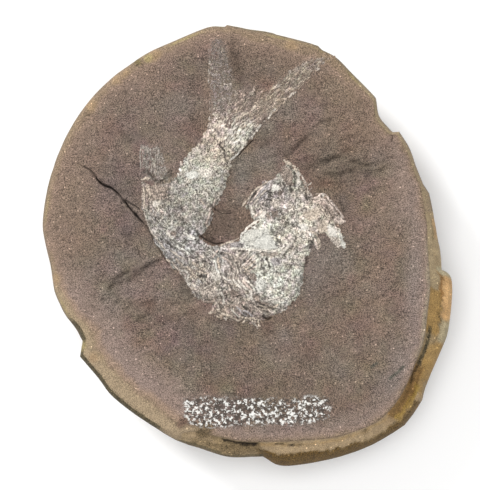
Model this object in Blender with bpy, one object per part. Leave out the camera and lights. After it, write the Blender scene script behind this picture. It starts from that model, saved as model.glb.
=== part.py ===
"""Fossil fish slab: one half of a split ironstone nodule, with a coiled fish lying in its split face.

The stone is one closed solid.  The split face looks up (+Z) and the fish's tail points to +Y.  The worn rind
runs round the face as a ledge, wide on the right and along the bottom, and closes underneath in a rounded
back that ends in a flat resting facet at z = 0.  Sizes are in millimetres; MM turns them into metres.
"""
import math

import bmesh
import bpy
import numpy as np
from mathutils import Vector
from mathutils.geometry import delaunay_2d_cdt

MM = 0.001

# ---- driving sizes, mm ------------------------------------------------------------------------------------
FACE_HEIGHT = 21.5          # split face above the resting facet
FACE_SWELL = 0.35           # slow rise and fall of the split face
FACE_GRAIN = 0.07           # unevenness between neighbouring facets of the face
RIM_FALL = 0.5              # the face sinks this much towards its edge
FACE_MARGIN = 1.0           # width of the bevel between the face and the widest line, left and top

BODY_RELIEF = 0.65          # fish body above the face
BODY_LUMPS = 0.3            # unevenness of the crushed body
FIN_RELIEF = 0.25           # fin and tail membranes above the face
RAY_RELIEF = 0.22           # fin rays above their membrane
RAY_WIDTH = 0.5
PATCH_RELIEF = 0.35         # smooth mineral plates above the body
RAMP = 0.45                 # width of the step from the face up to the fish

HOLLOW_DEPTH = 0.9          # stepped hollow left of the bend
HOLLOW_REACH = 9.0          # how far the hollow runs out
VALLEY_DEPTH = 0.9          # smooth trough between the tail stalk and the head
VALLEY_RADIUS = 5.0

RIND_GRAIN = 0.3            # roughness of the rind ledge
BACK_SWELL = 1.0            # broad bumps of the back
BACK_GRAIN = 0.35           # small bumps of the back
PEEL_STEP = 0.9             # thickness of the spalled shell on the back
FACET_RADIUS = 20.0         # resting facet
FACET_CENTRE = (0.8, -0.6)
FACET_CLEARANCE = 0.25      # least height of the back beside the facet
SMOOTHING = 16.0            # degrees over which the rim's corners fade out on the back

# ---- mesh sizes -------------------------------------------------------------------------------------------
COLUMNS = 168               # columns round the rim
BACK_RINGS = 7
FACE_SPACING = 2.7          # mm between points of the plain face
FISH_SPACING = 1.15         # mm between points of the fish
LINE_SPACING = 1.3          # mm between points along cracks and edges

CORNER = True

# ---- plan outlines, mm, seen from above -------------------------------------------------------------------
# The widest line of the stone, clockwise from the left; CORNER marks a sharp point of the rind.
OUTLINE = [
    (-46.1, 5.2), (-45.2, 11.5), (-43.2, 18.9), (-39.8, 26.6), (-35.3, 33.1), (-30.4, 38.0), (-26.3, 41.0),
    (-24.8, 42.1, CORNER), (-21.8, 43.9), (-17.3, 45.9), (-9.0, 49.3), (-5.0, 49.5, CORNER),
    (-4.5, 49.9, CORNER), (0.7, 48.8), (6.3, 47.8), (13.1, 46.1), (16.0, 45.2, CORNER), (16.9, 44.3, CORNER),
    (20.2, 42.5), (23.6, 39.1), (28.8, 33.8), (29.2, 32.9, CORNER), (29.9, 29.2), (32.2, 26.4, CORNER),
    (32.9, 25.7, CORNER), (34.4, 25.8, CORNER), (36.7, 22.1), (38.2, 18.0), (39.8, 14.0, CORNER),
    (41.2, 11.9, CORNER), (42.1, 7.7), (43.0, 2.9), (43.9, -2.0), (44.1, -5.4, CORNER), (45.5, -6.1),
    (46.4, -7.9), (46.4, -12.6), (45.5, -19.6), (44.1, -23.4, CORNER), (42.1, -28.1), (40.5, -31.9),
    (39.8, -34.9, CORNER), (37.8, -38.0), (35.8, -40.7, CORNER), (32.6, -42.8), (27.7, -45.5),
    (20.9, -47.9), (13.1, -49.5), (7.4, -49.8), (3.6, -47.7, CORNER), (-3.8, -47.8), (-9.9, -45.9),
    (-16.2, -43.6), (-21.8, -40.3), (-26.8, -36.9), (-30.8, -33.5), (-33.5, -29.9), (-36.9, -25.9),
    (-37.7, -25.0, CORNER), (-37.1, -21.4, CORNER), (-38.2, -18.9), (-40.7, -15.8), (-43.2, -10.6),
    (-44.1, -5.4), (-45.6, 1.0),
]
# Where the face ends on the right and along the bottom, with the rind ledge beyond it.
FACE_EDGE = [
    (38.9, 14.4), (39.8, 9.2), (40.5, 4.7), (40.7, -0.9), (41.2, -8.8), (40.7, -14.4), (39.8, -21.2),
    (38.2, -25.7), (36.2, -30.6), (34.0, -34.6), (31.1, -38.0), (28.5, -40.0), (23.2, -42.1),
    (18.7, -43.2), (9.7, -43.9), (2.2, -44.1), (-1.6, -43.9), (-6.1, -43.0), (-11.5, -41.8),
    (-15.5, -42.4),
]
# Drop below the face at six stations from the face's edge (0) to the widest line (1), by angle from +X.
STATIONS = (0.0, 0.1, 0.35, 0.6, 0.85, 1.0)
RIND_SECTIONS = {
    -108: (0.0, 0.1, 0.3, 0.7, 1.4, 2.6),
    -102: (0.0, 1.6, 2.2, 2.4, 3.0, 4.6),
    -94: (0.0, 2.6, 2.8, 3.0, 3.8, 5.6),
    -87: (0.0, 2.4, 2.2, 2.6, 4.2, 6.4),
    -84: (0.0, 0.7, 1.3, 2.0, 4.4, 7.0),
    -60: (0.0, 0.6, 1.4, 2.2, 4.8, 8.0),
    -49: (0.0, 0.8, 2.6, 3.0, 4.8, 8.0),
    -42: (0.0, 1.6, 4.0, 2.6, 4.4, 7.4),
    -34: (0.0, 2.8, 2.2, 2.4, 4.0, 6.6),
    -26: (0.0, 1.8, 2.8, 3.6, 3.4, 5.6),
    -10: (0.0, 1.2, 2.2, 3.2, 3.2, 5.4),
    -6: (0.0, 0.5, 1.2, 2.0, 3.2, 5.6),
    8: (0.0, 0.3, 0.8, 1.6, 2.8, 4.6),
    18: (0.0, 0.2, 0.5, 1.0, 1.8, 3.4),
    40: (0.0, 0.1, 0.3, 0.8, 1.5, 2.8),
    120: (0.0, 0.1, 0.3, 0.7, 1.3, 2.4),
    200: (0.0, 0.1, 0.3, 0.7, 1.4, 2.6),
}

BODY = [
    (-3.4, 20.0), (-4.6, 24.0), (-8.3, 28.0), (-9.2, 26.1), (-10.6, 23.4), (-12.8, 21.6), (-14.4, 19.8),
    (-15.3, 16.5), (-17.3, 14.2), (-20.7, 13.5), (-24.0, 15.0), (-24.1, 10.3), (-22.7, 5.4), (-21.4, 2.0),
    (-19.6, -0.9), (-17.3, -4.3), (-15.5, -5.9), (-14.0, -8.1), (-12.8, -10.3), (-11.0, -12.2),
    (-8.0, -12.4), (-8.3, -15.3), (-6.1, -16.7), (-0.5, -17.1), (1.8, -17.8), (3.4, -16.7), (6.3, -16.0),
    (8.6, -14.4), (10.3, -12.8), (11.9, -11.0), (12.6, -8.8), (13.1, -5.4), (13.7, -2.0), (14.6, 1.4),
    (14.8, 4.0), (15.4, 7.0), (14.8, 9.4), (14.4, 11.2), (13.7, 12.6), (12.6, 14.8), (11.9, 16.7),
    (10.3, 18.2), (8.6, 19.4), (7.7, 16.7), (5.2, 14.8), (3.4, 14.4), (1.8, 12.6), (0.2, 10.8),
    (-0.9, 8.8), (0.7, 7.7), (1.1, 6.3), (2.5, 5.4), (0.7, 4.0), (-0.9, 2.5), (-2.7, 1.1), (-5.0, 0.2),
    (-7.2, 0.0), (-9.0, 0.9), (-10.6, 1.8), (-7.9, 5.4), (-7.4, 8.1), (-6.1, 10.3), (-4.7, 13.7),
    (-3.8, 17.1),
]
UPPER_LOBE = [
    (-9.2, 26.1), (-8.3, 28.8), (-8.6, 35.1), (-8.8, 41.9), (-8.6, 48.0), (-6.5, 48.6), (-5.0, 48.0),
    (-4.3, 45.2), (-3.4, 41.4), (-2.5, 37.4), (-2.2, 32.9), (-3.4, 28.8), (-4.6, 25.0),
]
LOWER_LOBE = [
    (-4.6, 24.6), (-3.8, 30.2), (0.7, 31.9), (6.3, 36.2), (9.7, 38.7), (15.3, 41.4), (19.4, 42.4),
    (18.7, 41.5), (16.9, 40.5), (14.6, 37.8), (11.9, 35.6), (9.7, 33.3), (7.9, 31.1), (5.2, 28.8),
    (2.5, 27.0), (-0.5, 23.9), (-3.4, 20.2),
]
BACK_FIN = [
    (-15.4, 17.0), (-17.3, 14.2), (-20.7, 13.5), (-24.0, 15.0), (-24.3, 19.0), (-23.6, 23.0), (-19.0, 22.0),
]
PATCHES = [
    [(-0.9, 0.7), (-0.2, 3.1), (2.0, 4.5), (4.7, 4.7), (6.8, 3.6), (7.4, 1.4), (5.6, -0.7), (2.5, -0.9)],
    [(-13.6, 14.6), (-12.4, 17.6), (-9.6, 17.8), (-9.2, 15.4), (-11.4, 14.2)],
    [(2.4, -7.4), (4.6, -6.0), (6.4, -7.4), (5.8, -10.2), (3.0, -10.0)],
]
# Fans of fin rays: start side, end side and number of rays.
RAY_FANS = [
    (((-8.6, 27.5), (-5.2, 26.0)), ((-8.2, 47.6), (-5.2, 47.6)), 4),
    (((-4.4, 27.6), (-3.0, 21.6)), ((15.0, 40.9), (17.2, 40.4)), 5),
    (((-17.0, 15.0), (-22.8, 15.2)), ((-19.6, 21.4), (-23.2, 22.2)), 4),
]
# Loose bones beside the head: centre line and half width at its middle.
BONES = [
    ([(14.4, 11.2), (16.4, 11.7), (18.7, 10.3), (20.5, 8.1), (21.8, 5.4)], 0.7),
    ([(15.2, 5.6), (17.6, 5.2), (19.8, 4.5), (21.4, 3.1), (22.1, 1.4), (21.6, -0.2)], 1.0),
    ([(14.6, 1.6), (15.5, -0.2), (16.4, 1.4)], 0.5),
]
# Cracks: centre line, half width and depth.
CRACKS = [
    ([(-38.7, 18.9), (-35.8, 17.3), (-33.8, 14.8), (-30.6, 13.1), (-27.7, 9.7), (-24.8, 6.4), (-22.9, 4.5),
      (-21.8, 3.1)], 0.35, 0.9),
    ([(-9.4, 1.4), (-8.3, 0.7), (-5.0, 0.1), (-2.7, 1.2)], 0.35, 0.8),
    ([(1.1, 24.3), (-1.6, 21.6), (-3.6, 19.8)], 0.3, 0.7),
    ([(-4.7, 48.6), (-3.4, 43.0), (-1.8, 36.2)], 0.35, 0.5),
    ([(32.9, 25.7), (32.7, 22.0)], 0.3, 0.8),
    ([(40.5, -21.2), (39.6, -25.7), (37.8, -30.6), (34.4, -34.6), (32.6, -36.9)], 0.45, 1.4),
]
# Long low folds of the face: centre line, half width and height (a negative height is a furrow).
FOLDS = [
    ([(11.9, 16.0), (16.4, 18.2), (22.1, 20.0)], 1.6, -0.4),
    ([(18.7, 18.2), (25.4, 19.4), (32.2, 18.2)], 2.0, 0.4),
    ([(14.0, 21.0), (20.0, 24.0), (27.0, 25.0)], 2.2, 0.35),
    ([(-20.0, -8.6), (-24.5, -10.8), (-29.0, -12.4)], 1.2, 0.35),
    ([(-17.4, -10.0), (-21.0, -13.4), (-26.0, -15.6)], 1.2, 0.3),
]
HOLLOW_RIM = [
    (-32.2, -11.0), (-31.3, -9.5), (-29.7, -8.3), (-27.4, -7.2), (-25.2, -5.9), (-22.9, -4.7), (-20.7, -4.0),
    (-18.0, -4.0),
]
VALLEY = [(0.2, 22.7), (-0.5, 18.2), (-1.6, 13.7), (-3.4, 9.2), (-4.3, 4.7), (-5.0, 1.8)]


# ---- plane geometry ---------------------------------------------------------------------------------------
def spline(knots, closed, step):
    """Points along a Catmull-Rom curve through the knots, which breaks at knots marked CORNER."""
    xy = np.array([knot[:2] for knot in knots], float)
    sharp = [len(knot) > 2 for knot in knots]
    count = len(xy)
    out = []
    for i in range(count if closed else count - 1):
        j = (i + 1) % count
        before = xy[i - 1] if closed or i else 2 * xy[i] - xy[j]
        after = xy[(i + 2) % count] if closed or i + 2 < count else 2 * xy[j] - xy[i]
        if sharp[i]:
            before = 2 * xy[i] - xy[j]
        if sharp[j]:
            after = 2 * xy[j] - xy[i]
        spans = max(1, round(np.linalg.norm(xy[j] - xy[i]) / step))
        for k in range(spans):
            t = k / spans
            out.append(0.5 * (2 * xy[i] + (xy[j] - before) * t
                              + (2 * before - 5 * xy[i] + 4 * xy[j] - after) * t * t
                              + (3 * xy[i] - before - 3 * xy[j] + after) * t ** 3))
    if not closed:
        out.append(xy[-1])
    return np.array(out)


def line_distance(points, line):
    """Distance of each point from a polyline, the share of its length passed there, and the side."""
    start, end = line[:-1], line[1:]
    along = end - start
    length = np.linalg.norm(along, axis=1)
    passed = np.concatenate([[0.0], np.cumsum(length)])
    offset = points[:, None, :] - start[None]
    t = np.clip((offset * along).sum(2) / length ** 2, 0.0, 1.0)
    gap = offset - t[..., None] * along
    distance = np.linalg.norm(gap, axis=2)
    nearest = distance.argmin(axis=1)
    rows = np.arange(len(points))
    share = (passed[nearest] + t[rows, nearest] * length[nearest]) / passed[-1]
    near_offset, near_along = offset[rows, nearest], along[nearest]
    side = np.sign(near_along[:, 0] * near_offset[:, 1] - near_along[:, 1] * near_offset[:, 0])
    return distance[rows, nearest], share, side


def inside(points, polygon):
    """True for the points inside a closed polygon."""
    x, y = points[:, 0, None], points[:, 1, None]
    x0, y0 = polygon[:, 0], polygon[:, 1]
    x1, y1 = np.roll(x0, -1), np.roll(y0, -1)
    straddles = (y0 > y) != (y1 > y)
    rise = np.where(y1 == y0, 1.0, y1 - y0)
    return ((straddles & (x < (x1 - x0) * (y - y0) / rise + x0)).sum(1) % 2).astype(bool)


def depth_inside(points, polygon):
    """Distance from the polygon's edge, positive inside it and negative outside."""
    distance = line_distance(points, np.vstack([polygon, polygon[:1]]))[0]
    return np.where(inside(points, polygon), distance, -distance)


def ease(value):
    """Smooth step from 0 to 1."""
    value = np.clip(value, 0.0, 1.0)
    return value * value * (3 - 2 * value)


def hashed(cell, seed):
    """A repeatable value from -1 to 1 for each whole-number cell."""
    mixed = cell[..., 0] * 374761393 + cell[..., 1] * 668265263 + cell[..., 2] * 2147483647 + seed * 974711
    mixed = (mixed ^ (mixed >> 13)) & 0x7FFFFFFF
    mixed = (mixed * 1274126177) & 0x7FFFFFFF
    mixed = (mixed ^ (mixed >> 16)) & 0xFFFFF
    return mixed / 0x7FFFF - 1.0


def noise(points, size, seed):
    """Smooth noise from -1 to 1 whose bumps are about `size` mm wide, at 3-D points."""
    place = points / size
    cell = np.floor(place).astype(np.int64)
    part = place - cell
    part = part * part * (3 - 2 * part)
    total = np.zeros(len(points))
    for corner in range(8):
        bit = np.array([corner & 1, corner >> 1 & 1, corner >> 2 & 1])
        weight = np.where(bit, part, 1 - part).prod(axis=1)
        total += weight * hashed(cell + bit, seed)
    return total


def at_height(points, height=0.0):
    """Plan points lifted to 3-D."""
    return np.column_stack([points, np.full(len(points), height)])


# ---- outlines by angle ------------------------------------------------------------------------------------
def radius_by_angle(line, angles):
    """Distance from the middle to a curve, at angles in degrees."""
    bearing = np.degrees(np.arctan2(line[:, 1], line[:, 0]))
    order = bearing.argsort()
    reach = np.linalg.norm(line, axis=1)
    return np.interp(angles, bearing[order], reach[order], period=360)


def column_angles():
    """Evenly spread angles, with the nearest one moved onto each sharp corner of the outline."""
    angles = (np.arange(COLUMNS) + 0.5) * 360 / COLUMNS - 180
    for knot in OUTLINE:
        if len(knot) > 2:
            corner = math.degrees(math.atan2(knot[1], knot[0]))
            angles[np.abs(angles - corner).argmin()] = corner
    return np.sort(angles)


def ring(angles, radii):
    """Points at the given angles and radii."""
    turn = np.radians(angles)
    return np.column_stack([np.cos(turn) * radii, np.sin(turn) * radii])


def outline_radius(angles):
    return radius_by_angle(spline(OUTLINE, True, 0.4), angles)


def smooth_radius(angles):
    """The outline's radius with its corners and notches averaged away."""
    spans = np.linspace(-SMOOTHING, SMOOTHING, 9)
    return np.mean([outline_radius((angles + turn + 180) % 360 - 180) for turn in spans], axis=0)


def face_radius(angles):
    """Edge of the face: a narrow bevel inside the outline, or FACE_EDGE where the rind ledge is wide."""
    edge = spline(FACE_EDGE, False, 0.4)
    bearing = np.degrees(np.arctan2(edge[:, 1], edge[:, 0]))
    bevel = outline_radius(angles) - FACE_MARGIN
    ledge = radius_by_angle(edge, angles)
    on_ledge = (angles >= bearing.min()) & (angles <= bearing.max())
    return np.where(on_ledge, np.minimum(ledge, bevel + FACE_MARGIN / 2), bevel)


def rind_drop(angles, share):
    """Drop below the face at a share of the way from the face's edge to the widest line."""
    bearings = np.array(sorted(RIND_SECTIONS))
    table = np.array([RIND_SECTIONS[b] for b in bearings])
    columns = [np.interp(angles, bearings, table[:, k], period=360) for k in range(len(STATIONS))]
    return np.array([np.interp(share, STATIONS, drops) for drops in zip(*columns)])


# ---- height of the upper surface --------------------------------------------------------------------------
def ray_lines():
    """Straight centre lines of all fin rays."""
    lines = []
    for (start_a, start_b), (end_a, end_b), count in RAY_FANS:
        for share in np.linspace(0, 1, count):
            start = np.array(start_a) * (1 - share) + np.array(start_b) * share
            end = np.array(end_a) * (1 - share) + np.array(end_b) * share
            lines.append(np.linspace(start, end, 12))
    return lines


def fish_relief(points):
    """Rise of the fish above the face."""
    body = ease(depth_inside(points, np.array(BODY)) / RAMP)
    lumps = noise(at_height(points), 2.4, 5) + 0.6 * noise(at_height(points), 1.2, 6)
    rise = body * (BODY_RELIEF + BODY_LUMPS * lumps)
    for fin in (UPPER_LOBE, LOWER_LOBE, BACK_FIN):
        rise = np.maximum(rise, FIN_RELIEF * ease(depth_inside(points, np.array(fin)) / RAMP))
    rays = np.zeros(len(points))
    for line in ray_lines():
        rays = np.maximum(rays, 1 - ease(line_distance(points, line)[0] / RAY_WIDTH))
    rise = rise + RAY_RELIEF * rays * (1 - body)
    for patch in PATCHES:
        rise = rise + PATCH_RELIEF * ease(depth_inside(points, np.array(patch)) / RAMP)
    for line, half_width in BONES:
        distance, share, _ = line_distance(points, spline(line, False, 0.8))
        width = half_width * (0.35 + 0.65 * np.sin(np.pi * np.clip(share, 0.05, 0.95)))
        rise = np.maximum(rise, BODY_RELIEF * (1 - ease(distance / width - 0.3)))
    return rise


def surface_lines(points):
    """Cracks, folds, the stepped hollow and the valley: what they add to the height."""
    change = np.zeros(len(points))
    for line, half_width, depth in CRACKS:
        distance, share, _ = line_distance(points, spline(line, False, 0.8))
        taper = ease(np.minimum(share, 1 - share) * 8 + 0.3)
        change -= depth * taper * (1 - ease(distance / half_width - 0.15))
    for line, half_width, height in FOLDS:
        distance, share, _ = line_distance(points, spline(line, False, 0.8))
        taper = ease(np.minimum(share, 1 - share) * 4)
        change += height * taper * np.exp(-(distance / half_width) ** 2)
    distance, share, side = line_distance(points, spline(HOLLOW_RIM, False, 0.8))
    below = side < 0
    taper = ease(np.minimum(share, 1 - share) * 5)
    sunk = ease(distance / 0.4) * (1 - ease(distance / HOLLOW_REACH))
    change -= np.where(below, HOLLOW_DEPTH * taper * sunk, 0.0)
    distance = line_distance(points, spline(VALLEY, False, 0.8))[0]
    return change - VALLEY_DEPTH * np.exp(-(distance / VALLEY_RADIUS) ** 2)


def face_height(points):
    """Height of the split face with the fish, cracks and hollow."""
    bearing = np.degrees(np.arctan2(points[:, 1], points[:, 0]))
    share = np.linalg.norm(points, axis=1) / face_radius(bearing)
    flat = at_height(points)
    height = FACE_HEIGHT + FACE_SWELL * noise(flat, 24.0, 1) + FACE_GRAIN * noise(flat, 2.0, 2)
    return height - RIM_FALL * share ** 6 + surface_lines(points) + fish_relief(points)


def rind_height(points, angles, share, edge_height):
    """Height of the rind ledge between the face's edge and the widest line."""
    rough = noise(at_height(points), 3.0, 11) + 0.5 * noise(at_height(points), 1.3, 12)
    fade = np.sin(np.pi * min(share, 0.5))
    ledge = (outline_radius(angles) - face_radius(angles)) > 2 * FACE_MARGIN
    cracked = np.where(ledge, np.minimum(surface_lines(points), 0.0), 0.0)
    return edge_height - rind_drop(angles, share) + RIND_GRAIN * fade * rough + cracked


# ---- mesh -------------------------------------------------------------------------------------------------
def feature_lines():
    """Lines that mesh edges follow: the fish's outlines, rays, bones, cracks and the hollow's rim."""
    lines = []
    for polygon in [BODY, UPPER_LOBE, LOWER_LOBE, *PATCHES]:
        closed = spline([point + (CORNER,) for point in polygon], True, LINE_SPACING)
        lines.append(np.vstack([closed, closed[:1]]))
    lines += [line[::2] for line in ray_lines()]
    for line, half_width, _ in CRACKS:
        middle = spline(line, False, LINE_SPACING)
        lines += [middle, beside(middle, half_width * 1.2), beside(middle, -half_width * 1.2)]
    for line, half_width in BONES:
        middle = spline(line, False, LINE_SPACING)
        lines += [middle, beside(middle, half_width), beside(middle, -half_width)]
    rim = spline(HOLLOW_RIM, False, LINE_SPACING)
    lines += [rim, beside(rim, -0.4)]
    return lines


def beside(line, offset):
    """The line moved sideways, to its left for a positive offset."""
    along = np.gradient(line, axis=0)
    along /= np.linalg.norm(along, axis=1)[:, None]
    return line + offset * np.column_stack([-along[:, 1], along[:, 0]])


def spread(spacing, seed):
    """Loosely hexagonal points over the stone's plan."""
    rng = np.random.default_rng(seed)
    reach = 52.0
    rows = int(2 * reach / (spacing * math.sqrt(0.75)))
    cols = int(2 * reach / spacing)
    row, col = np.mgrid[0:rows, 0:cols]
    grid = np.column_stack([
        ((col + 0.5 * (row % 2)) * spacing - reach).ravel(),
        (row * spacing * math.sqrt(0.75) - reach).ravel(),
    ])
    return grid + rng.uniform(-0.22, 0.22, grid.shape) * spacing


def clear_of(points, others, gap):
    """The points that lie at least `gap` from all the others."""
    keep = np.ones(len(points), bool)
    for start in range(0, len(others), 400):
        block = others[start:start + 400]
        nearest = np.linalg.norm(points[:, None] - block[None], axis=2).min(axis=1)
        keep &= nearest >= gap
    return points[keep]


def face_mesh(edge):
    """Plan points and triangles of the face inside its edge ring; the ring's points come first."""
    lines = []
    for line in feature_lines():
        bearing = np.degrees(np.arctan2(line[:, 1], line[:, 0]))
        lines.append(line[np.linalg.norm(line, axis=1) < face_radius(bearing) - 0.7])
    held = np.vstack([edge, *lines])
    fish_area = np.vstack([spline(p, True, 2.0) for p in (BODY, UPPER_LOBE, LOWER_LOBE, BACK_FIN)])
    fine = spread(FISH_SPACING, 21)
    fine = fine[np.any([inside(fine, np.array(p)) for p in (BODY, UPPER_LOBE, LOWER_LOBE, BACK_FIN)], axis=0)]
    fine = clear_of(fine, held, 0.5 * FISH_SPACING)
    plain = spread(FACE_SPACING, 22)
    bearing = np.degrees(np.arctan2(plain[:, 1], plain[:, 0]))
    plain = plain[np.linalg.norm(plain, axis=1) < face_radius(bearing) - 1.0]
    plain = clear_of(plain, np.vstack([held, fish_area, fine]), 0.55 * FACE_SPACING)
    points = [edge]
    edges = [(i, (i + 1) % len(edge)) for i in range(len(edge))]
    total = len(edge)
    for line in lines:
        points.append(line)
        edges += [(total + i, total + i + 1) for i in range(len(line) - 1)]
        total += len(line)
    points += [fine, plain]
    flat = [Vector(point) for point in np.vstack(points)]
    coords, _, faces, sources, _, _ = delaunay_2d_cdt(flat, edges, [], 1, 1e-4, True)
    first = {source: new for new, group in enumerate(sources) for source in group}
    order = [first[i] for i in range(len(edge))]
    rest = [i for i in range(len(coords)) if i not in set(order)]
    place = {old: new for new, old in enumerate(order + rest)}
    plan = np.array([coords[i][:] for i in order + rest])
    faces = np.array([[place[i] for i in face] for face in faces])
    within = inside(plan[faces].mean(axis=1), edge)
    return plan, [tuple(face) for face in faces[within].tolist()]


def back_ring(angles, level, rim, rim_height):
    """One ring of the back; level 0 is the widest line and level 1 the edge of the resting facet."""
    centre = np.array(FACET_CENTRE)
    facet_edge = centre + ring(angles, FACET_RADIUS * (1 + 0.06 * np.sin(np.radians(3 * angles + 40))))
    turn = level * math.pi / 2
    even = rim + (ring(angles, smooth_radius(angles)) - rim) * min(1.0, 3.0 * level)
    plan = facet_edge + (even - facet_edge) * math.cos(turn) ** 0.8
    height = rim_height * (1 - math.sin(turn)) ** 0.9
    spot = np.column_stack([plan, height])
    bumps = BACK_SWELL * noise(spot, 13.0, 31) + BACK_GRAIN * noise(spot, 5.0, 32)
    peeled = PEEL_STEP * ease((noise(spot, 22.0, 33) + 0.1) * 6)
    inward = (bumps - peeled) * math.sin(math.pi * level) ** 0.5
    plan = plan + (plan - centre) / np.linalg.norm(plan - centre, axis=1)[:, None] * inward[:, None]
    if level == 1:
        return np.column_stack([facet_edge, np.zeros(len(angles))])
    return np.column_stack([plan, np.maximum(height - 0.4 * inward, FACET_CLEARANCE)])


def strip(lower, upper, count):
    """Triangles between two rings that start at the given vertex numbers."""
    faces = []
    for i in range(count):
        j = (i + 1) % count
        faces += [(lower + i, lower + j, upper + j), (lower + i, upper + j, upper + i)]
    return faces


def slab_mesh():
    """Vertices in mm and triangles of the whole stone."""
    angles = column_angles()
    outer = ring(angles, outline_radius(angles))
    inner = ring(angles, face_radius(angles))
    plan, faces = face_mesh(inner)
    heights = face_height(plan)
    layers = [np.column_stack([plan, heights])]
    previous = 0
    total = len(plan)
    for share in STATIONS[1:]:
        spot = inner + (outer - inner) * share
        height = rind_height(spot, angles, share, heights[:COLUMNS])
        layers.append(np.column_stack([spot, height]))
        faces += strip(total, previous, COLUMNS)
        previous = total
        total += COLUMNS
    rim_height = layers[-1][:, 2]
    for k in range(1, BACK_RINGS + 1):
        layers.append(back_ring(angles, k / BACK_RINGS, outer, rim_height))
        faces += strip(total, previous, COLUMNS)
        previous = total
        total += COLUMNS
    layers.append(np.array([[*FACET_CENTRE, 0.0]]))
    faces += [(previous + (i + 1) % COLUMNS, previous + i, total) for i in range(COLUMNS)]
    return np.vstack(layers), faces


def ironstone():
    """Grey-brown siderite ironstone."""
    material = bpy.data.materials.new("ironstone")
    material.use_nodes = True
    shader = material.node_tree.nodes["Principled BSDF"]
    shader.inputs["Base Color"].default_value = (0.215, 0.160, 0.126, 1.0)
    shader.inputs["Roughness"].default_value = 0.88
    shader.inputs["Metallic"].default_value = 0.0
    return material


def make_slab():
    vertices, faces = slab_mesh()
    mesh = bpy.data.meshes.new("slab")
    mesh.from_pydata((vertices * MM).tolist(), [], faces)
    edit = bmesh.new()
    edit.from_mesh(mesh)
    bmesh.ops.recalc_face_normals(edit, faces=edit.faces)
    edit.to_mesh(mesh)
    edit.free()
    mesh.materials.append(ironstone())
    slab = bpy.data.objects.new("slab", mesh)
    bpy.context.scene.collection.objects.link(slab)
    return slab


def main():
    for old in list(bpy.data.objects):
        bpy.data.objects.remove(old)
    make_slab()


main()
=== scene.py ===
"""Looks of the fossil fish slab: a finely modelled stone, the fish's scales, bones and rays, and its finish.

Sizes are in millimetres, as in the solid: +X right, +Y towards the tail, +Z out of the split face. The
lists of lines, spots and plates are drawn in that plan. Bearings are degrees from +X.
"""

import math

import bpy
import numpy as np
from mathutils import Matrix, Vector
from mathutils.geometry import delaunay_2d_cdt
from mathutils.kdtree import KDTree


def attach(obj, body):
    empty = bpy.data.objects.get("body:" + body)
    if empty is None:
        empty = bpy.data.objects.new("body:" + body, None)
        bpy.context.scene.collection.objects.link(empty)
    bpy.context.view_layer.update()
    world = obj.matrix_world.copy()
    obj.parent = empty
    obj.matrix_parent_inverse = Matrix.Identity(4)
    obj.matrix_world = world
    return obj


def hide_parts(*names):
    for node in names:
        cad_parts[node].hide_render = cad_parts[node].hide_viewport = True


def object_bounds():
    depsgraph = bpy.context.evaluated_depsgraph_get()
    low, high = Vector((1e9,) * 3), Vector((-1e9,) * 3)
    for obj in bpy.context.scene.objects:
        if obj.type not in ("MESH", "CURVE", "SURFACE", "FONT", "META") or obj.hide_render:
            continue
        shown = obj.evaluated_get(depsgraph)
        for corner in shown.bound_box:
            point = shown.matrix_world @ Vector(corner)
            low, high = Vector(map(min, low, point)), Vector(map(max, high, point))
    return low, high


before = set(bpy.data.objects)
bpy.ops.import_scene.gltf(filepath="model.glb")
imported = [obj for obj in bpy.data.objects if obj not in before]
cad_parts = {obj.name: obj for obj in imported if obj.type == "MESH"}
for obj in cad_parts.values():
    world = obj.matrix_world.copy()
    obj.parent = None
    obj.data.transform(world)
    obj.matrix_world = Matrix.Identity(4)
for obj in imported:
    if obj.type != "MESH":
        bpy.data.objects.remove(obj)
CAD_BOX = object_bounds()

MM = 0.001
CORNER = True        # marks a knot of an outline where the curve breaks
AT_ONCE = 4096       # how many points are worked on at a time, to keep memory low

# ---- sizes shared with the solid, mm ----------------------------------------------------------------------
FACE_HEIGHT = 21.5
FACE_SWELL = 0.35      # slow waves of the face
RIM_FALL = 0.5         # how far the face falls towards its rim
FACE_MARGIN = 1.0      # bevel between the face and the outline
BODY_RELIEF = 0.65     # rise of the fish's body above the face
BODY_LUMPS = 0.3
FIN_RELIEF = 0.12
PATCH_RELIEF = 0.35    # extra rise of the smooth patches of bone
RAMP = 1.5             # how wide the fish's edge slopes
HOLLOW_DEPTH = 0.9     # stepped hollow left of the fish
HOLLOW_REACH = 9.0
VALLEY_DEPTH = 0.9     # valley inside the bend of the fish
VALLEY_RADIUS = 5.0
RIND_GRAIN = 0.3
BACK_SWELL = 1.0
BACK_GRAIN = 0.35
PEEL_STEP = 0.9        # step of the back's spalled shell
FACET_RADIUS = 20.0    # flat spot that the stone rests on
FACET_CENTRE = (0.8, -0.6)
FACET_CLEARANCE = 0.25     # how high the back stays above the floor around that spot
SMOOTHING = 16.0       # degrees over which the outline is evened out for the back

# ---- fine mesh --------------------------------------------------------------------------------------------
COLUMNS = 720          # vertices in each ring around the stone
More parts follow.
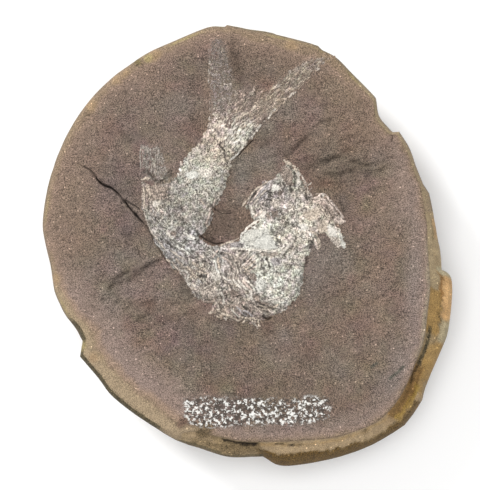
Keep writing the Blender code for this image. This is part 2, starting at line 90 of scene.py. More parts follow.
# Rings of the rind, as shares of the way from the face's edge to the widest line.
RIND_SHARES = (0.04, 0.1, 0.17, 0.26, 0.35, 0.44, 0.52, 0.6, 0.68, 0.76, 0.85, 0.92, 1.0)
BACK_RINGS = 30        # from the widest line to the resting spot
PLAN_REACH = 52.0      # the stone's plan lies within this of the middle
FACE_SPACING = 0.43    # between vertices of the bare face
FISH_SPACING = 0.34    # between vertices under the fish
LINE_SPACING = 0.3     # between vertices along cracks
EDGE_GAP = 0.3         # between the face's edge ring and the vertices inside it
WELD = 1e-4            # vertices closer than this become one
INSIDE_ONLY = 1        # the triangulation's own code for triangles inside the edge ring
CURVE_STEP = 0.4       # spacing of the points along outlines and cracks
FOLD_STEP = 0.8
CREVICE_STEP = 0.5
PLATE_STEP = 0.3
STROKE_STEP = 0.25
SWEEP_STEP = 0.2
CRUST_BED = 0.35       # how far the stone lies below the fish's mineral crust
CRUST_GRID = 0.12      # between vertices of the crust
CRUST_LOW, CRUST_HIGH = (-26.4, -19.8), (23.6, 49.8)     # corners of the crust's grid
CRUST_FILM = 0.15      # thickness of the crust
CRUST_SUNK = 0.12      # how far below the stone's surface its rim starts
TAIL_ROOT = 24.0       # the tail fin is a piece of its own above this
FINS_START = 27.0      # the tail's lobes begin above this
SCALY_PART, SCALY_RADIUS = (-9.0, 16.0), 7.5             # where scales lie closed, with few gaps
WEB_ROOT, WEB_ROOT_RADIUS = (-3.0, 26.0), 6.5            # where the tail's rays are densest

OUTLINE = [   # widest line of the nodule
    (-46.1, 5.2), (-45.2, 11.5), (-43.2, 18.9), (-39.8, 26.6), (-35.3, 33.1), (-30.4, 38.0), (-26.3, 41.0),
    (-24.8, 42.1, CORNER), (-21.8, 43.9), (-17.3, 45.9), (-9.0, 49.3), (-5.0, 49.5, CORNER),
    (-4.5, 49.9, CORNER), (0.7, 48.8), (6.3, 47.8), (13.1, 46.1), (16.0, 45.2, CORNER), (16.9, 44.3, CORNER),
    (20.2, 42.5), (23.6, 39.1), (28.8, 33.8), (29.2, 32.9, CORNER), (29.9, 29.2), (32.2, 26.4, CORNER),
    (32.9, 25.7, CORNER), (34.4, 25.8, CORNER), (36.7, 22.1), (38.2, 18.0), (39.8, 14.0, CORNER),
    (41.2, 11.9, CORNER), (42.1, 7.7), (43.0, 2.9), (43.9, -2.0), (44.1, -5.4, CORNER), (45.5, -6.1),
    (46.4, -7.9), (46.4, -12.6), (45.5, -19.6), (44.1, -23.4, CORNER), (42.1, -28.1), (40.5, -31.9),
    (39.8, -34.9, CORNER), (37.8, -38.0), (35.8, -40.7, CORNER), (32.6, -42.8), (27.7, -45.5),
    (20.9, -47.9), (13.1, -49.5), (7.4, -49.8), (3.6, -47.7, CORNER), (-3.8, -47.8), (-9.9, -45.9),
    (-16.2, -43.6), (-21.8, -40.3), (-26.8, -36.9), (-30.8, -33.5), (-33.5, -29.9), (-36.9, -25.9),
    (-37.7, -25.0, CORNER), (-37.1, -21.4, CORNER), (-38.2, -18.9), (-40.7, -15.8), (-43.2, -10.6),
    (-44.1, -5.4), (-45.6, 1.0),
]
FACE_EDGE = [   # edge of the face where the rind ledge is wide
    (38.9, 14.4), (39.8, 9.2), (40.5, 4.7), (40.7, -0.9), (41.2, -8.8), (40.7, -14.4), (39.8, -21.2),
    (38.2, -25.7), (36.2, -30.6), (34.0, -34.6), (31.1, -38.0), (28.5, -40.0), (23.2, -42.1),
    (18.7, -43.2), (9.7, -43.9), (2.2, -44.1), (-1.6, -43.9), (-6.1, -43.0), (-11.5, -41.8),
    (-15.5, -42.4),
]
# Drop of the rind below the face's edge, by bearing, at these shares of the way to the widest line.
STATIONS = (0.0, 0.1, 0.35, 0.6, 0.85, 1.0)
RIND_SECTIONS = {
    -108: (0.0, 0.1, 0.3, 0.7, 1.4, 2.6),
    -103: (0.0, 0.3, 0.8, 1.4, 2.4, 4.2),
    -98: (0.0, 1.2, 1.8, 2.2, 3.2, 5.0),
    -94: (0.0, 2.6, 2.8, 3.0, 3.8, 5.6),
    -87: (0.0, 2.4, 2.2, 2.6, 4.2, 6.4),
    -84: (0.0, 0.7, 1.3, 2.0, 4.4, 7.0),
    -60: (0.0, 0.6, 1.4, 2.2, 4.8, 8.0),
    -49: (0.0, 0.8, 2.6, 3.0, 4.8, 8.0),
    -42: (0.0, 1.6, 4.0, 2.6, 4.4, 7.4),
    -34: (0.0, 2.8, 2.2, 2.4, 4.0, 6.6),
    -26: (0.0, 1.8, 2.8, 3.6, 3.4, 5.6),
    -10: (0.0, 1.2, 2.2, 3.2, 3.2, 5.4),
    -6: (0.0, 0.5, 1.2, 2.0, 3.2, 5.6),
    8: (0.0, 0.3, 0.8, 1.6, 2.8, 4.6),
    18: (0.0, 0.2, 0.5, 1.0, 1.8, 3.4),
    40: (0.0, 0.1, 0.3, 0.8, 1.5, 2.8),
    120: (0.0, 0.1, 0.3, 0.7, 1.3, 2.4),
    200: (0.0, 0.1, 0.3, 0.7, 1.4, 2.6),
}
BODY = [   # the bent fish from its tail root to its snout
    (-3.2, 19.5), (-0.6, 22.1), (1.2, 24.3), (3.4, 27.2), (2.3, 28.4), (-0.2, 28.0), (-2.5, 26.8),
    (-4.7, 26.6), (-6.5, 27.6), (-8.6, 28.0), (-9.2, 26.1), (-10.6, 23.4), (-12.8, 21.6), (-14.4, 19.8),
    (-15.3, 16.5), (-17.3, 14.2), (-20.7, 13.5), (-24.0, 15.0), (-24.1, 10.3), (-22.7, 5.4), (-21.4, 2.0),
    (-19.6, -0.9), (-17.3, -4.3), (-15.5, -5.9), (-14.0, -8.1), (-12.8, -10.3), (-11.0, -12.2), (-8.0, -12.4),
    (-8.3, -15.3), (-6.1, -16.7), (-0.5, -17.1), (1.8, -17.8), (3.4, -16.7), (6.3, -16.0), (8.6, -14.4),
    (10.3, -12.8), (11.9, -11.0), (12.6, -8.8), (13.1, -5.4), (14.1, -1.4), (15.8, 1.4), (15.8, 4.0),
    (15.4, 7.0), (14.8, 9.4), (14.4, 11.2), (13.7, 12.6), (12.6, 14.8), (11.9, 16.7), (10.3, 18.2),
    (8.6, 19.4), (7.7, 16.7), (5.2, 14.8), (3.4, 14.4), (1.8, 12.6), (0.2, 10.8), (-0.9, 8.8), (0.7, 7.7),
    (1.1, 6.3), (2.5, 5.4), (0.7, 4.0), (-0.9, 2.5), (-1.8, 1.8), (-3.8, 1.1), (-5.6, 0.5), (-7.2, -0.1),
    (-9.0, 0.8), (-10.6, 1.8), (-7.9, 5.4), (-7.4, 8.1), (-6.1, 10.3), (-4.7, 13.7), (-3.8, 17.1),
]
UPPER_LOBE = [
    (-9.2, 26.1), (-8.3, 28.8), (-8.6, 35.1), (-8.8, 41.9), (-8.5, 46.8), (-6.5, 47.6), (-5.2, 46.8),
    (-4.3, 45.2), (-3.4, 41.4), (-2.5, 37.4), (-2.2, 32.9), (-3.4, 28.8), (-4.6, 25.0),
]
LOWER_LOBE = [
    (-4.6, 24.6), (-3.8, 30.2), (0.7, 31.9), (5.9, 36.7), (9.7, 39.8), (12.8, 42.0), (17.1, 43.2),
    (19.6, 42.6), (18.7, 41.5), (16.9, 40.5), (14.6, 37.8), (11.9, 35.6), (9.7, 33.3), (7.9, 31.1),
    (5.2, 28.8), (2.5, 27.0), (-0.5, 23.9), (-3.4, 20.2),
]
TAIL_WEB = [
    (-7.4, 34.7), (-5.6, 36.5), (-1.6, 36.0), (2.0, 36.5), (4.7, 36.0), (4.3, 33.8), (2.0, 31.9),
    (-0.2, 30.6), (-2.5, 28.8), (-5.2, 27.4), (-7.9, 27.9), (-8.1, 31.7),
]
BACK_FIN = [
    (-17.0, 14.0), (-20.7, 13.5), (-24.0, 15.0), (-24.4, 19.0), (-24.2, 23.2), (-20.2, 23.0), (-18.0, 19.6),
    (-17.0, 17.0),
]
PATCHES = [   # smooth patches of bone
    [(-0.9, 0.7), (-0.2, 3.1), (2.0, 4.5), (4.7, 4.7), (6.8, 3.6), (7.4, 1.4), (5.6, -0.7), (2.5, -0.9)],
    [(-13.6, 14.6), (-12.4, 17.6), (-9.6, 17.8), (-9.2, 15.4), (-11.4, 14.2)],
    [(2.4, -7.4), (4.6, -6.0), (6.4, -7.4), (5.8, -10.2), (3.0, -10.0)],
]
GILL_COVER = [
    (12.6, 10.2), (14.4, 9.7), (15.5, 11.0), (16.9, 11.7), (18.2, 10.8), (19.6, 9.5), (20.7, 7.7),
    (21.6, 6.1), (22.1, 5.2), (20.9, 4.7), (19.8, 5.4), (20.2, 4.3), (21.2, 3.4), (22.1, 2.2), (22.1, -0.2),
    (21.2, -0.2), (20.2, 0.9), (18.9, 1.6), (17.8, 2.5), (16.9, 3.4), (16.2, 3.4), (16.4, 1.8), (16.2, -0.5),
    (15.5, -0.5), (14.8, 1.1), (13.0, 1.8),
]
CRACKS = [   # centre line, half width, depth
    ([(-37.8, 18.4), (-35.3, 17.1), (-34.2, 16.0), (-33.5, 14.6), (-32.2, 13.7), (-30.4, 13.1), (-29.0, 11.9),
      (-27.9, 10.4), (-26.8, 9.2), (-25.7, 7.7), (-24.3, 6.4), (-22.5, 4.1)], 0.2, 0.9),
    ([(-33.9, 15.2), (-32.2, 13.6), (-30.4, 12.9), (-28.8, 11.6)], 0.25, 0.9),
    ([(-27.4, 9.9), (-26.3, 8.4), (-24.8, 6.7), (-23.6, 5.4)], 0.25, 0.9),
    ([(-10.6, 2.3), (-9.0, 1.3), (-7.2, 0.5), (-5.2, 0.8)], 0.24, 0.8),
    ([(1.5, 24.0), (-0.7, 21.8), (-2.2, 20.1)], 0.2, 0.6),
    ([(32.9, 25.7), (32.6, 23.4)], 0.14, 0.4),
]
FOLDS = [   # centre line, half width, height
    ([(11.9, 16.0), (16.4, 18.2), (22.1, 20.0)], 1.6, -0.4),
    ([(18.7, 18.2), (25.4, 19.4), (32.2, 18.2)], 2.0, 0.4),
    ([(14.0, 21.0), (20.0, 24.0), (27.0, 25.0)], 2.2, 0.35),
    ([(-20.0, -8.6), (-24.5, -10.8), (-29.0, -12.4)], 1.2, 0.35),
    ([(-17.4, -10.0), (-21.0, -13.4), (-26.0, -15.6)], 1.2, 0.3),
    ([(16.0, 33.8), (17.8, 34.4), (19.1, 35.3)], 0.5, 0.25),
    ([(-23.6, 36.0), (-21.8, 34.4), (-20.2, 32.6)], 0.5, 0.2),
    ([(-6.5, -13.3), (-9.5, -13.1), (-12.8, -14.2), (-18.4, -15.8), (-22.3, -17.1)], 1.0, 0.45),
    ([(3.4, -16.2), (4.3, -18.0), (5.2, -20.0)], 0.6, 0.3),
    ([(11.0, 19.4), (13.3, 20.5), (16.0, 21.4), (18.7, 21.4)], 0.8, 0.25),
    ([(16.0, 17.6), (18.7, 17.8), (21.8, 17.6)], 0.8, 0.25),
    ([(29.5, 16.7), (31.3, 18.0), (32.6, 19.4)], 0.9, 0.2),
    ([(-1.6, 34.6), (2.0, 35.6), (4.7, 37.4)], 0.9, 0.2),
    ([(-33.1, -3.6), (-30.4, -2.7), (-26.8, -3.6)], 1.0, 0.12),
]
HOLLOW_RIM = [   # step of the hollow, which lies below this line
    (-32.2, -11.0), (-31.3, -9.5), (-29.7, -8.3), (-27.4, -7.2), (-25.2, -5.9), (-22.9, -4.7), (-20.7, -4.0),
    (-18.0, -4.0),
]
VALLEY = [(0.2, 22.7), (-0.5, 18.2), (-1.6, 13.7), (-3.4, 9.2), (-4.3, 4.7), (-5.0, 1.8)]

# ---- finer features, mm -----------------------------------------------------------------------------------
HAIR_CRACKS = [   # centre line, half width, depth
    ([(-24.7, 0.0), (-24.3, -1.4), (-24.0, -2.7)], 0.09, 0.15),
    ([(-27.7, 10.6), (-26.3, 9.7), (-24.8, 8.8), (-24.1, 8.1)], 0.22, 0.35),
    ([(-7.6, 8.6), (-5.6, 7.4), (-3.2, 7.4)], 0.13, 0.2),
    ([(3.4, -16.2), (4.6, -16.4), (5.8, -16.0)], 0.13, 0.2), ([(10.8, -17.3), (11.9, -17.8)], 0.12, 0.15),
    ([(6.3, -44.6), (7.4, -44.5), (8.3, -44.6)], 0.14, 0.25),
    ([(9.2, -44.8), (11.0, -45.0), (12.8, -44.8)], 0.18, 0.3),
    ([(-22.6, 4.6), (-20.9, 1.2), (-19.0, -2.0), (-17.4, -4.6)], 0.18, 0.4),
]
CREVICES = [   # centre line, half width, depth, strength of the painted shade in it
    ([(6.8, 20.5), (9.0, 20.5), (11.0, 21.8), (11.9, 23.2), (13.3, 24.3), (14.8, 25.7)], 0.4, 0.45, 0.5),
    ([(16.0, 27.7), (17.8, 28.1), (19.8, 28.8)], 0.32, 0.3, 0.36),
    ([(15.1, 18.7), (16.0, 19.4), (16.9, 18.9), (17.8, 19.2), (18.9, 19.2), (19.6, 20.0), (20.7, 19.9),
     (22.1, 20.5)], 0.23, 0.45, 0.63),
    ([(13.1, 16.9), (14.4, 17.7), (15.3, 18.2)], 0.23, 0.35, 0.54),
    ([(22.9, 19.4), (24.3, 18.9), (25.9, 18.3), (27.2, 18.1), (28.4, 18.9)], 0.29, 0.4, 0.54),
    ([(16.9, 16.7), (18.7, 16.0), (20.9, 16.0), (22.7, 16.9), (24.1, 16.4), (25.4, 15.5)], 0.43, 0.4, 0.36),
    ([(21.8, 21.4), (22.9, 21.8), (24.1, 21.8)], 0.22, 0.25, 0.41),
    ([(16.0, 22.1), (17.8, 21.5), (19.6, 21.8)], 0.25, 0.25, 0.32),
    ([(19.4, 11.9), (20.5, 10.6), (21.6, 8.8), (22.5, 6.8)], 0.47, 0.3, 0.45),
    ([(3.4, 28.1), (5.2, 29.0), (7.0, 30.2)], 0.22, 0.25, 0.27),
    ([(5.6, 25.9), (7.4, 26.8), (9.2, 27.2)], 0.29, 0.25, 0.36),
    ([(2.5, 21.8), (4.3, 22.9), (6.1, 23.6)], 0.32, 0.25, 0.32),
    ([(3.4, 19.4), (5.2, 20.0), (7.2, 20.9)], 0.32, 0.3, 0.32),
    ([(29.5, 16.9), (30.8, 18.0), (31.3, 19.4)], 0.27, 0.25, 0.32),
    ([(25.4, 15.8), (27.0, 16.7), (28.4, 17.3)], 0.23, 0.2, 0.32),
    ([(11.5, 18.7), (12.8, 19.8), (14.4, 20.2)], 0.22, 0.2, 0.27),
    ([(22.1, 24.3), (23.6, 24.8), (25.0, 24.1)], 0.23, 0.2, 0.23),
    ([(-13.5, 30.2), (-12.4, 29.0), (-11.2, 27.7), (-9.9, 26.8)], 0.16, 0.25, 0.5),
    ([(-21.8, 34.9), (-20.9, 33.5), (-19.8, 32.4)], 0.18, 0.25, 0.36),
    ([(-29.0, 25.9), (-27.2, 24.8), (-25.2, 23.6)], 0.4, 0.25, 0.36),
    ([(-24.1, 16.4), (-22.5, 16.7), (-21.2, 15.8), (-20.2, 14.4), (-19.1, 14.8), (-17.8, 16.2),
     (-16.2, 17.6)], 0.29, 0.3, 0.54),
    ([(-31.5, -10.1), (-30.4, -8.6), (-29.0, -7.2), (-27.0, -6.1), (-24.3, -5.4)], 0.47, 0.5, 0.54),
    ([(-24.3, -5.4), (-22.3, -4.5), (-20.5, -3.6), (-18.7, -3.1)], 0.36, 0.5, 0.68),
    ([(-31.9, 0.0), (-29.7, 0.3), (-27.4, 0.7), (-25.0, 0.7)], 0.16, 0.12, 0.23),
    ([(-32.2, -2.2), (-29.0, -2.0), (-26.3, -0.9)], 0.16, 0.12, 0.18),
    ([(-20.0, -5.0), (-18.0, -5.4), (-16.4, -6.1)], 0.16, 0.15, 0.32),
    ([(-20.5, -6.8), (-18.4, -7.0), (-16.9, -7.7)], 0.16, 0.12, 0.27),
    ([(-16.0, -5.9), (-14.4, -8.3), (-12.8, -10.8), (-11.2, -12.8)], 0.58, 0.3, 0.27),
    ([(-24.3, -13.7), (-22.7, -12.8), (-21.4, -12.4), (-20.0, -11.5)], 0.36, 0.2, 0.41),
    ([(-29.0, -16.2), (-26.6, -17.3), (-24.1, -17.0), (-21.8, -15.8)], 0.22, 0.15, 0.32),
    ([(-18.4, -13.5), (-15.5, -12.8), (-12.8, -12.8)], 0.29, 0.2, 0.32),
    ([(-25.4, -17.1), (-22.7, -15.8), (-20.5, -15.3)], 0.25, 0.15, 0.27),
    ([(13.1, -0.5), (13.5, -2.7), (13.3, -5.0)], 0.32, 0.25, 0.41),
    ([(12.6, -6.8), (13.3, -8.6), (13.1, -10.3)], 0.29, 0.2, 0.32),
    ([(3.4, -15.8), (4.5, -16.4), (5.6, -16.2)], 0.29, 0.35, 0.54),
    ([(6.1, -15.3), (7.7, -14.6), (8.8, -13.5)], 0.27, 0.3, 0.41),
    ([(17.8, -9.9), (18.9, -10.6), (20.2, -11.9)], 0.22, 0.15, 0.36),
    ([(20.9, -11.9), (21.8, -12.8), (22.9, -13.7)], 0.2, 0.15, 0.32),
    ([(20.0, -15.5), (21.6, -16.7)], 0.2, 0.12, 0.27),
    ([(12.4, -20.9), (13.5, -22.5), (14.6, -24.1), (15.8, -25.7)], 0.2, 0.15, 0.36),
    ([(18.7, -18.0), (20.5, -18.9), (22.1, -19.8)], 0.2, 0.12, 0.27),
    ([(10.3, -15.8), (11.9, -16.9)], 0.22, 0.12, 0.27),
    ([(28.6, -2.2), (29.7, -3.4), (30.8, -3.6)], 0.2, 0.12, 0.32),
    ([(22.3, 1.1), (23.6, 0.2), (25.0, 0.5)], 0.2, 0.12, 0.27),
    ([(11.0, -18.2), (12.4, -17.1)], 0.18, 0.12, 0.32),
    ([(-9.0, -16.2), (-7.0, -16.9), (-4.7, -17.1), (-2.5, -18.2)], 0.43, 0.2, 0.32),
    ([(8.1, -22.3), (9.7, -23.4), (11.0, -25.2)], 0.2, 0.12, 0.23),
    ([(14.8, -29.0), (16.9, -29.9), (19.1, -29.5)], 0.2, 0.1, 0.23),
    ([(23.2, -23.9), (24.8, -25.0), (25.9, -26.6)], 0.2, 0.1, 0.23),
    ([(33.3, -20.0), (34.9, -21.4), (35.8, -23.4)], 0.2, 0.1, 0.18),
    ([(-3.4, 47.7), (-2.5, 43.6), (-1.6, 40.1), (-0.9, 36.5)], 0.81, 0.4, 0.27),
    ([(-0.9, 41.9), (1.1, 42.5), (3.4, 41.9)], 0.23, 0.12, 0.27),
    ([(5.2, 43.6), (7.4, 44.1), (9.9, 43.2)], 0.23, 0.12, 0.27),
    ([(3.4, 38.7), (5.2, 39.4), (7.4, 38.9)], 0.22, 0.12, 0.23),
    ([(8.3, 23.6), (9.9, 24.5), (11.2, 25.9)], 0.22, 0.2, 0.32),
    ([(11.9, 26.6), (13.3, 27.4), (15.1, 28.1)], 0.22, 0.2, 0.27),
    ([(19.4, 22.3), (20.7, 21.4), (22.3, 20.9)], 0.2, 0.2, 0.32),
    ([(23.6, 16.9), (25.7, 17.3), (27.2, 16.7)], 0.2, 0.2, 0.27),
    ([(18.7, 14.6), (20.7, 14.2), (22.9, 14.6)], 0.23, 0.2, 0.27),
    ([(25.0, 22.9), (26.3, 23.6), (28.1, 23.2)], 0.18, 0.15, 0.27),
    ([(9.7, 28.8), (11.2, 29.7), (12.6, 29.5)], 0.18, 0.15, 0.27),
    ([(3.4, 33.8), (4.7, 34.6), (6.5, 34.9)], 0.18, 0.12, 0.27),
    ([(16.9, 31.3), (18.4, 31.9), (20.0, 31.5)], 0.18, 0.12, 0.23),
    ([(-17.8, 35.6), (-16.0, 34.9), (-14.4, 33.8)], 0.18, 0.12, 0.27),
    ([(-35.8, 18.7), (-37.1, 19.1), (-38.9, 18.7)], 0.16, 0.15, 0.32),
    ([(-11.0, 3.8), (-9.9, 2.5), (-8.3, 1.4), (-6.3, 0.9)], 0.72, 0.25, 0.5),
    ([(-7.0, 9.0), (-5.6, 8.1), (-3.8, 7.7), (-2.2, 8.3)], 0.23, 0.15, 0.36),
    ([(-30.4, 9.0), (-28.6, 7.7), (-27.2, 5.9)], 0.18, 0.1, 0.23),
    ([(14.6, 33.3), (16.4, 34.2), (18.7, 34.0)], 0.23, 0.15, 0.27),
]
CRINKLE_LENGTH, CRINKLE_WIDTH = 3.2, 1.3
CRINKLED = [   # centre, radii, direction of the wrinkles in degrees, height
    ((24.0, 18.5), (13.0, 6.5), 14, 0.34), ((16.0, 27.0), (11.0, 6.0), 22, 0.22),
    ((-25.0, -11.0), (11.0, 6.0), 24, 0.24), ((6.0, 41.0), (9.0, 4.0), 4, 0.16),
    ((24.0, -12.0), (14.0, 12.0), 30, 0.12), ((-27.0, 16.0), (8.0, 8.0), -45, 0.12),
    ((8.0, -27.0), (16.0, 7.0), -40, 0.08), ((-20.0, 33.0), (12.0, 8.0), -40, 0.1),
    ((30.0, 8.0), (7.0, 9.0), 40, 0.12),
]
PITS = [   # centre, radius, depth
    ((-25.0, 41.0), 0.55, 1.0),
    ((26.6, -41.6), 0.4, 0.3),
]
SCRATCHES = [   # centre line and half width of greenish scrapes
    ([(32.2, -29.8), (33.2, -29.0), (34.2, -28.2), (35.2, -27.2)], 0.4),
    ([(28.0, -27.2), (29.2, -26.4)], 0.35),
]
FLOW = [   # place, direction in degrees and length against width of the fish's grains
    (-7.2, 26.1, 95, 2.2), (-4.3, 26.1, 50, 2.5), (-1.6, 25.0, 45, 2.5), (-5.6, 30.6, 70, 1.6),
    (-0.5, 29.5, 35, 2.5), (-7.2, 41.9, 92, 1.5), (-5.6, 35.1, 85, 1.5), (2.9, 30.6, 42, 3),
    (9.7, 36.2, 43, 3), (14.2, 39.6, 42, 3), (-11.7, 21.6, 60, 1.3), (-8.3, 19.4, 70, 1.3),
    (-12.8, 17.1, 50, 1.3), (-5.0, 18.2, 70, 1.6), (-5.6, 13.7, 60, 1.6), (-15.1, 12.6, 45, 1.4),
    (-10.6, 11.5, 45, 1.5), (-18.4, 12.6, -60, 1.3), (-21.8, 13.7, -70, 1.8), (-16.2, 9.2, 50, 1.4),
    (-11.7, 8.1, 60, 1.4), (-9.0, 7.0, 75, 2.2), (-20.7, 8.1, -60, 1.6), (-22.3, 4.7, -62, 2.5),
    (-18.4, 4.7, -50, 1.5), (-14.0, 4.0, -25, 1.5), (-19.6, 0.2, -60, 2.5), (-16.2, 1.4, -40, 1.8),
    (-12.8, 1.4, -30, 1.8), (-16.2, -3.6, -55, 2.8), (-12.8, -8.8, -55, 2.8), (-10.6, -3.6, -38, 1.8),
    (-8.3, -2.0, -45, 1.8), (-7.2, -6.5, -80, 1.6), (-4.7, -3.6, -70, 3), (-2.9, -5.4, 80, 3),
    (0.2, -2.2, 50, 3), (0.2, -4.5, 40, 3), (-0.5, -6.5, -60, 3), (0.7, -8.6, -50, 2.5),
    (3.4, -2.7, -80, 2.2), (-2.7, 0.0, -10, 2.5), (2.9, -0.9, 0, 2.5), (5.2, -6.5, -20, 1.3),
    (8.6, -4.3, 60, 1.2), (10.8, -8.8, 45, 1.2), (11.9, -2.0, 80, 1.2), (6.3, -12.2, -20, 2.2),
    (3.4, -13.5, -30, 2.6), (-0.5, -14.0, -35, 2.6), (8.6, -13.3, 30, 1.8), (-5.0, -12.2, -80, 1.8),
    (-5.0, -15.5, -20, 1.6), (0.7, -16.2, 10, 1.8), (0.7, 10.3, 50, 3), (3.4, 12.6, 45, 3),
    (5.2, 10.3, 20, 1.5), (6.3, 7.0, -20, 1.4), (8.6, 12.6, 80, 1.5), (11.9, 13.7, -60, 1.8),
    (11.2, 17.1, -50, 1.5), (12.6, 12.2, -50, 2), (9.7, 7.0, 30, 1.3), (13.1, 7.0, -45, 1.5),
    (16.0, 7.0, -60, 1.5), (19.8, 8.8, -50, 2.5), (21.4, 6.3, -55, 2.5), (19.8, 2.5, -50, 2),
    (16.4, 1.4, -75, 1.8), (1.8, 7.7, -60, 2), (11.9, 3.6, 20, 1.3), (-22.3, 19.4, 90, 2.2),
    (-20.0, 18.2, 95, 2.2),
]
FIN_VEILS = [   # outline, how dense its speckle is and how softly it ends
    (UPPER_LOBE, 0.46, 1.1), (LOWER_LOBE, 0.82, 1.4), (TAIL_WEB, 0.70, 2.2), (BACK_FIN, 0.52, 1.8),
]
SWEEPS = [   # first and last line of a family, how many lines, brightness, broken share
    ([(-8.5, 27.0), (-8.5, 36.0), (-8.5, 44.6)], [(-3.6, 28.8), (-3.4, 38.0), (-4.3, 44.0)], 7, 1.12, 0.9),
    ([(-5.0, 26.6), (3.4, 32.9), (10.1, 39.6)],
     [(-2.5, 20.5), (4.3, 27.0), (12.4, 36.0), (17.8, 41.4)], 12, 1.25, 0.85),
    ([(-7.9, 23.9), (-8.1, 28.4)], [(-1.6, 23.9), (2.5, 28.8)], 10, 1.15, 0.5),
    ([(-24.1, 16.7), (-23.9, 22.7)], [(-18.9, 15.4), (-19.2, 22.5)], 13, 1.4, 0.3),
    ([(-23.9, 9.0), (-22.7, 5.9), (-18.9, -1.4), (-14.6, -7.2), (-9.9, -12.6)],
     [(-21.4, 9.0), (-19.6, 5.0), (-15.5, -1.4), (-11.7, -6.3), (-7.9, -10.3)], 5, 1.25, 0.6),
    ([(-5.9, -1.6), (-4.7, -3.6), (-4.3, -5.4), (-4.5, -7.4)],
     [(-3.1, -1.4), (-1.8, -3.6), (-1.6, -5.9), (-1.8, -7.9)], 6, 1.2, 0.3),
    ([(-2.7, -12.4), (-0.5, -15.1)], [(3.8, -11.2), (7.4, -14.2)], 9, 1.25, 0.3),
    ([(-0.9, 9.0), (0.7, 11.2), (3.4, 13.7), (6.1, 15.1)],
     [(2.2, 8.8), (3.6, 10.6), (4.7, 12.4), (6.1, 13.3)], 5, 1.2, 0.4),
    ([(14.8, 11.7), (16.9, 11.5), (18.7, 10.3), (20.5, 8.3), (22.1, 5.6)],
     [(15.5, 10.1), (17.1, 9.9), (18.4, 8.8), (19.6, 7.2), (20.2, 5.6)], 4, 1.2, 0.4),
]
# The fish's mineral, as lit: linear red, green, blue.
CHALK = (0.86, 0.81, 0.73)
MILK = (0.79, 0.77, 0.70)
PEARL = (0.70, 0.68, 0.61)
CREAM = (0.79, 0.72, 0.63)
BONE = (0.70, 0.64, 0.56)
PINK_BONE = (0.72, 0.59, 0.51)
SAND = (0.61, 0.51, 0.41)
DUN = (0.54, 0.47, 0.40)
DRAB = (0.45, 0.38, 0.32)
SLATE = (0.43, 0.39, 0.38)
UMBER = (0.34, 0.27, 0.22)
BARE = (0.25, 0.195, 0.16)
GLOOM = (0.18, 0.14, 0.115)

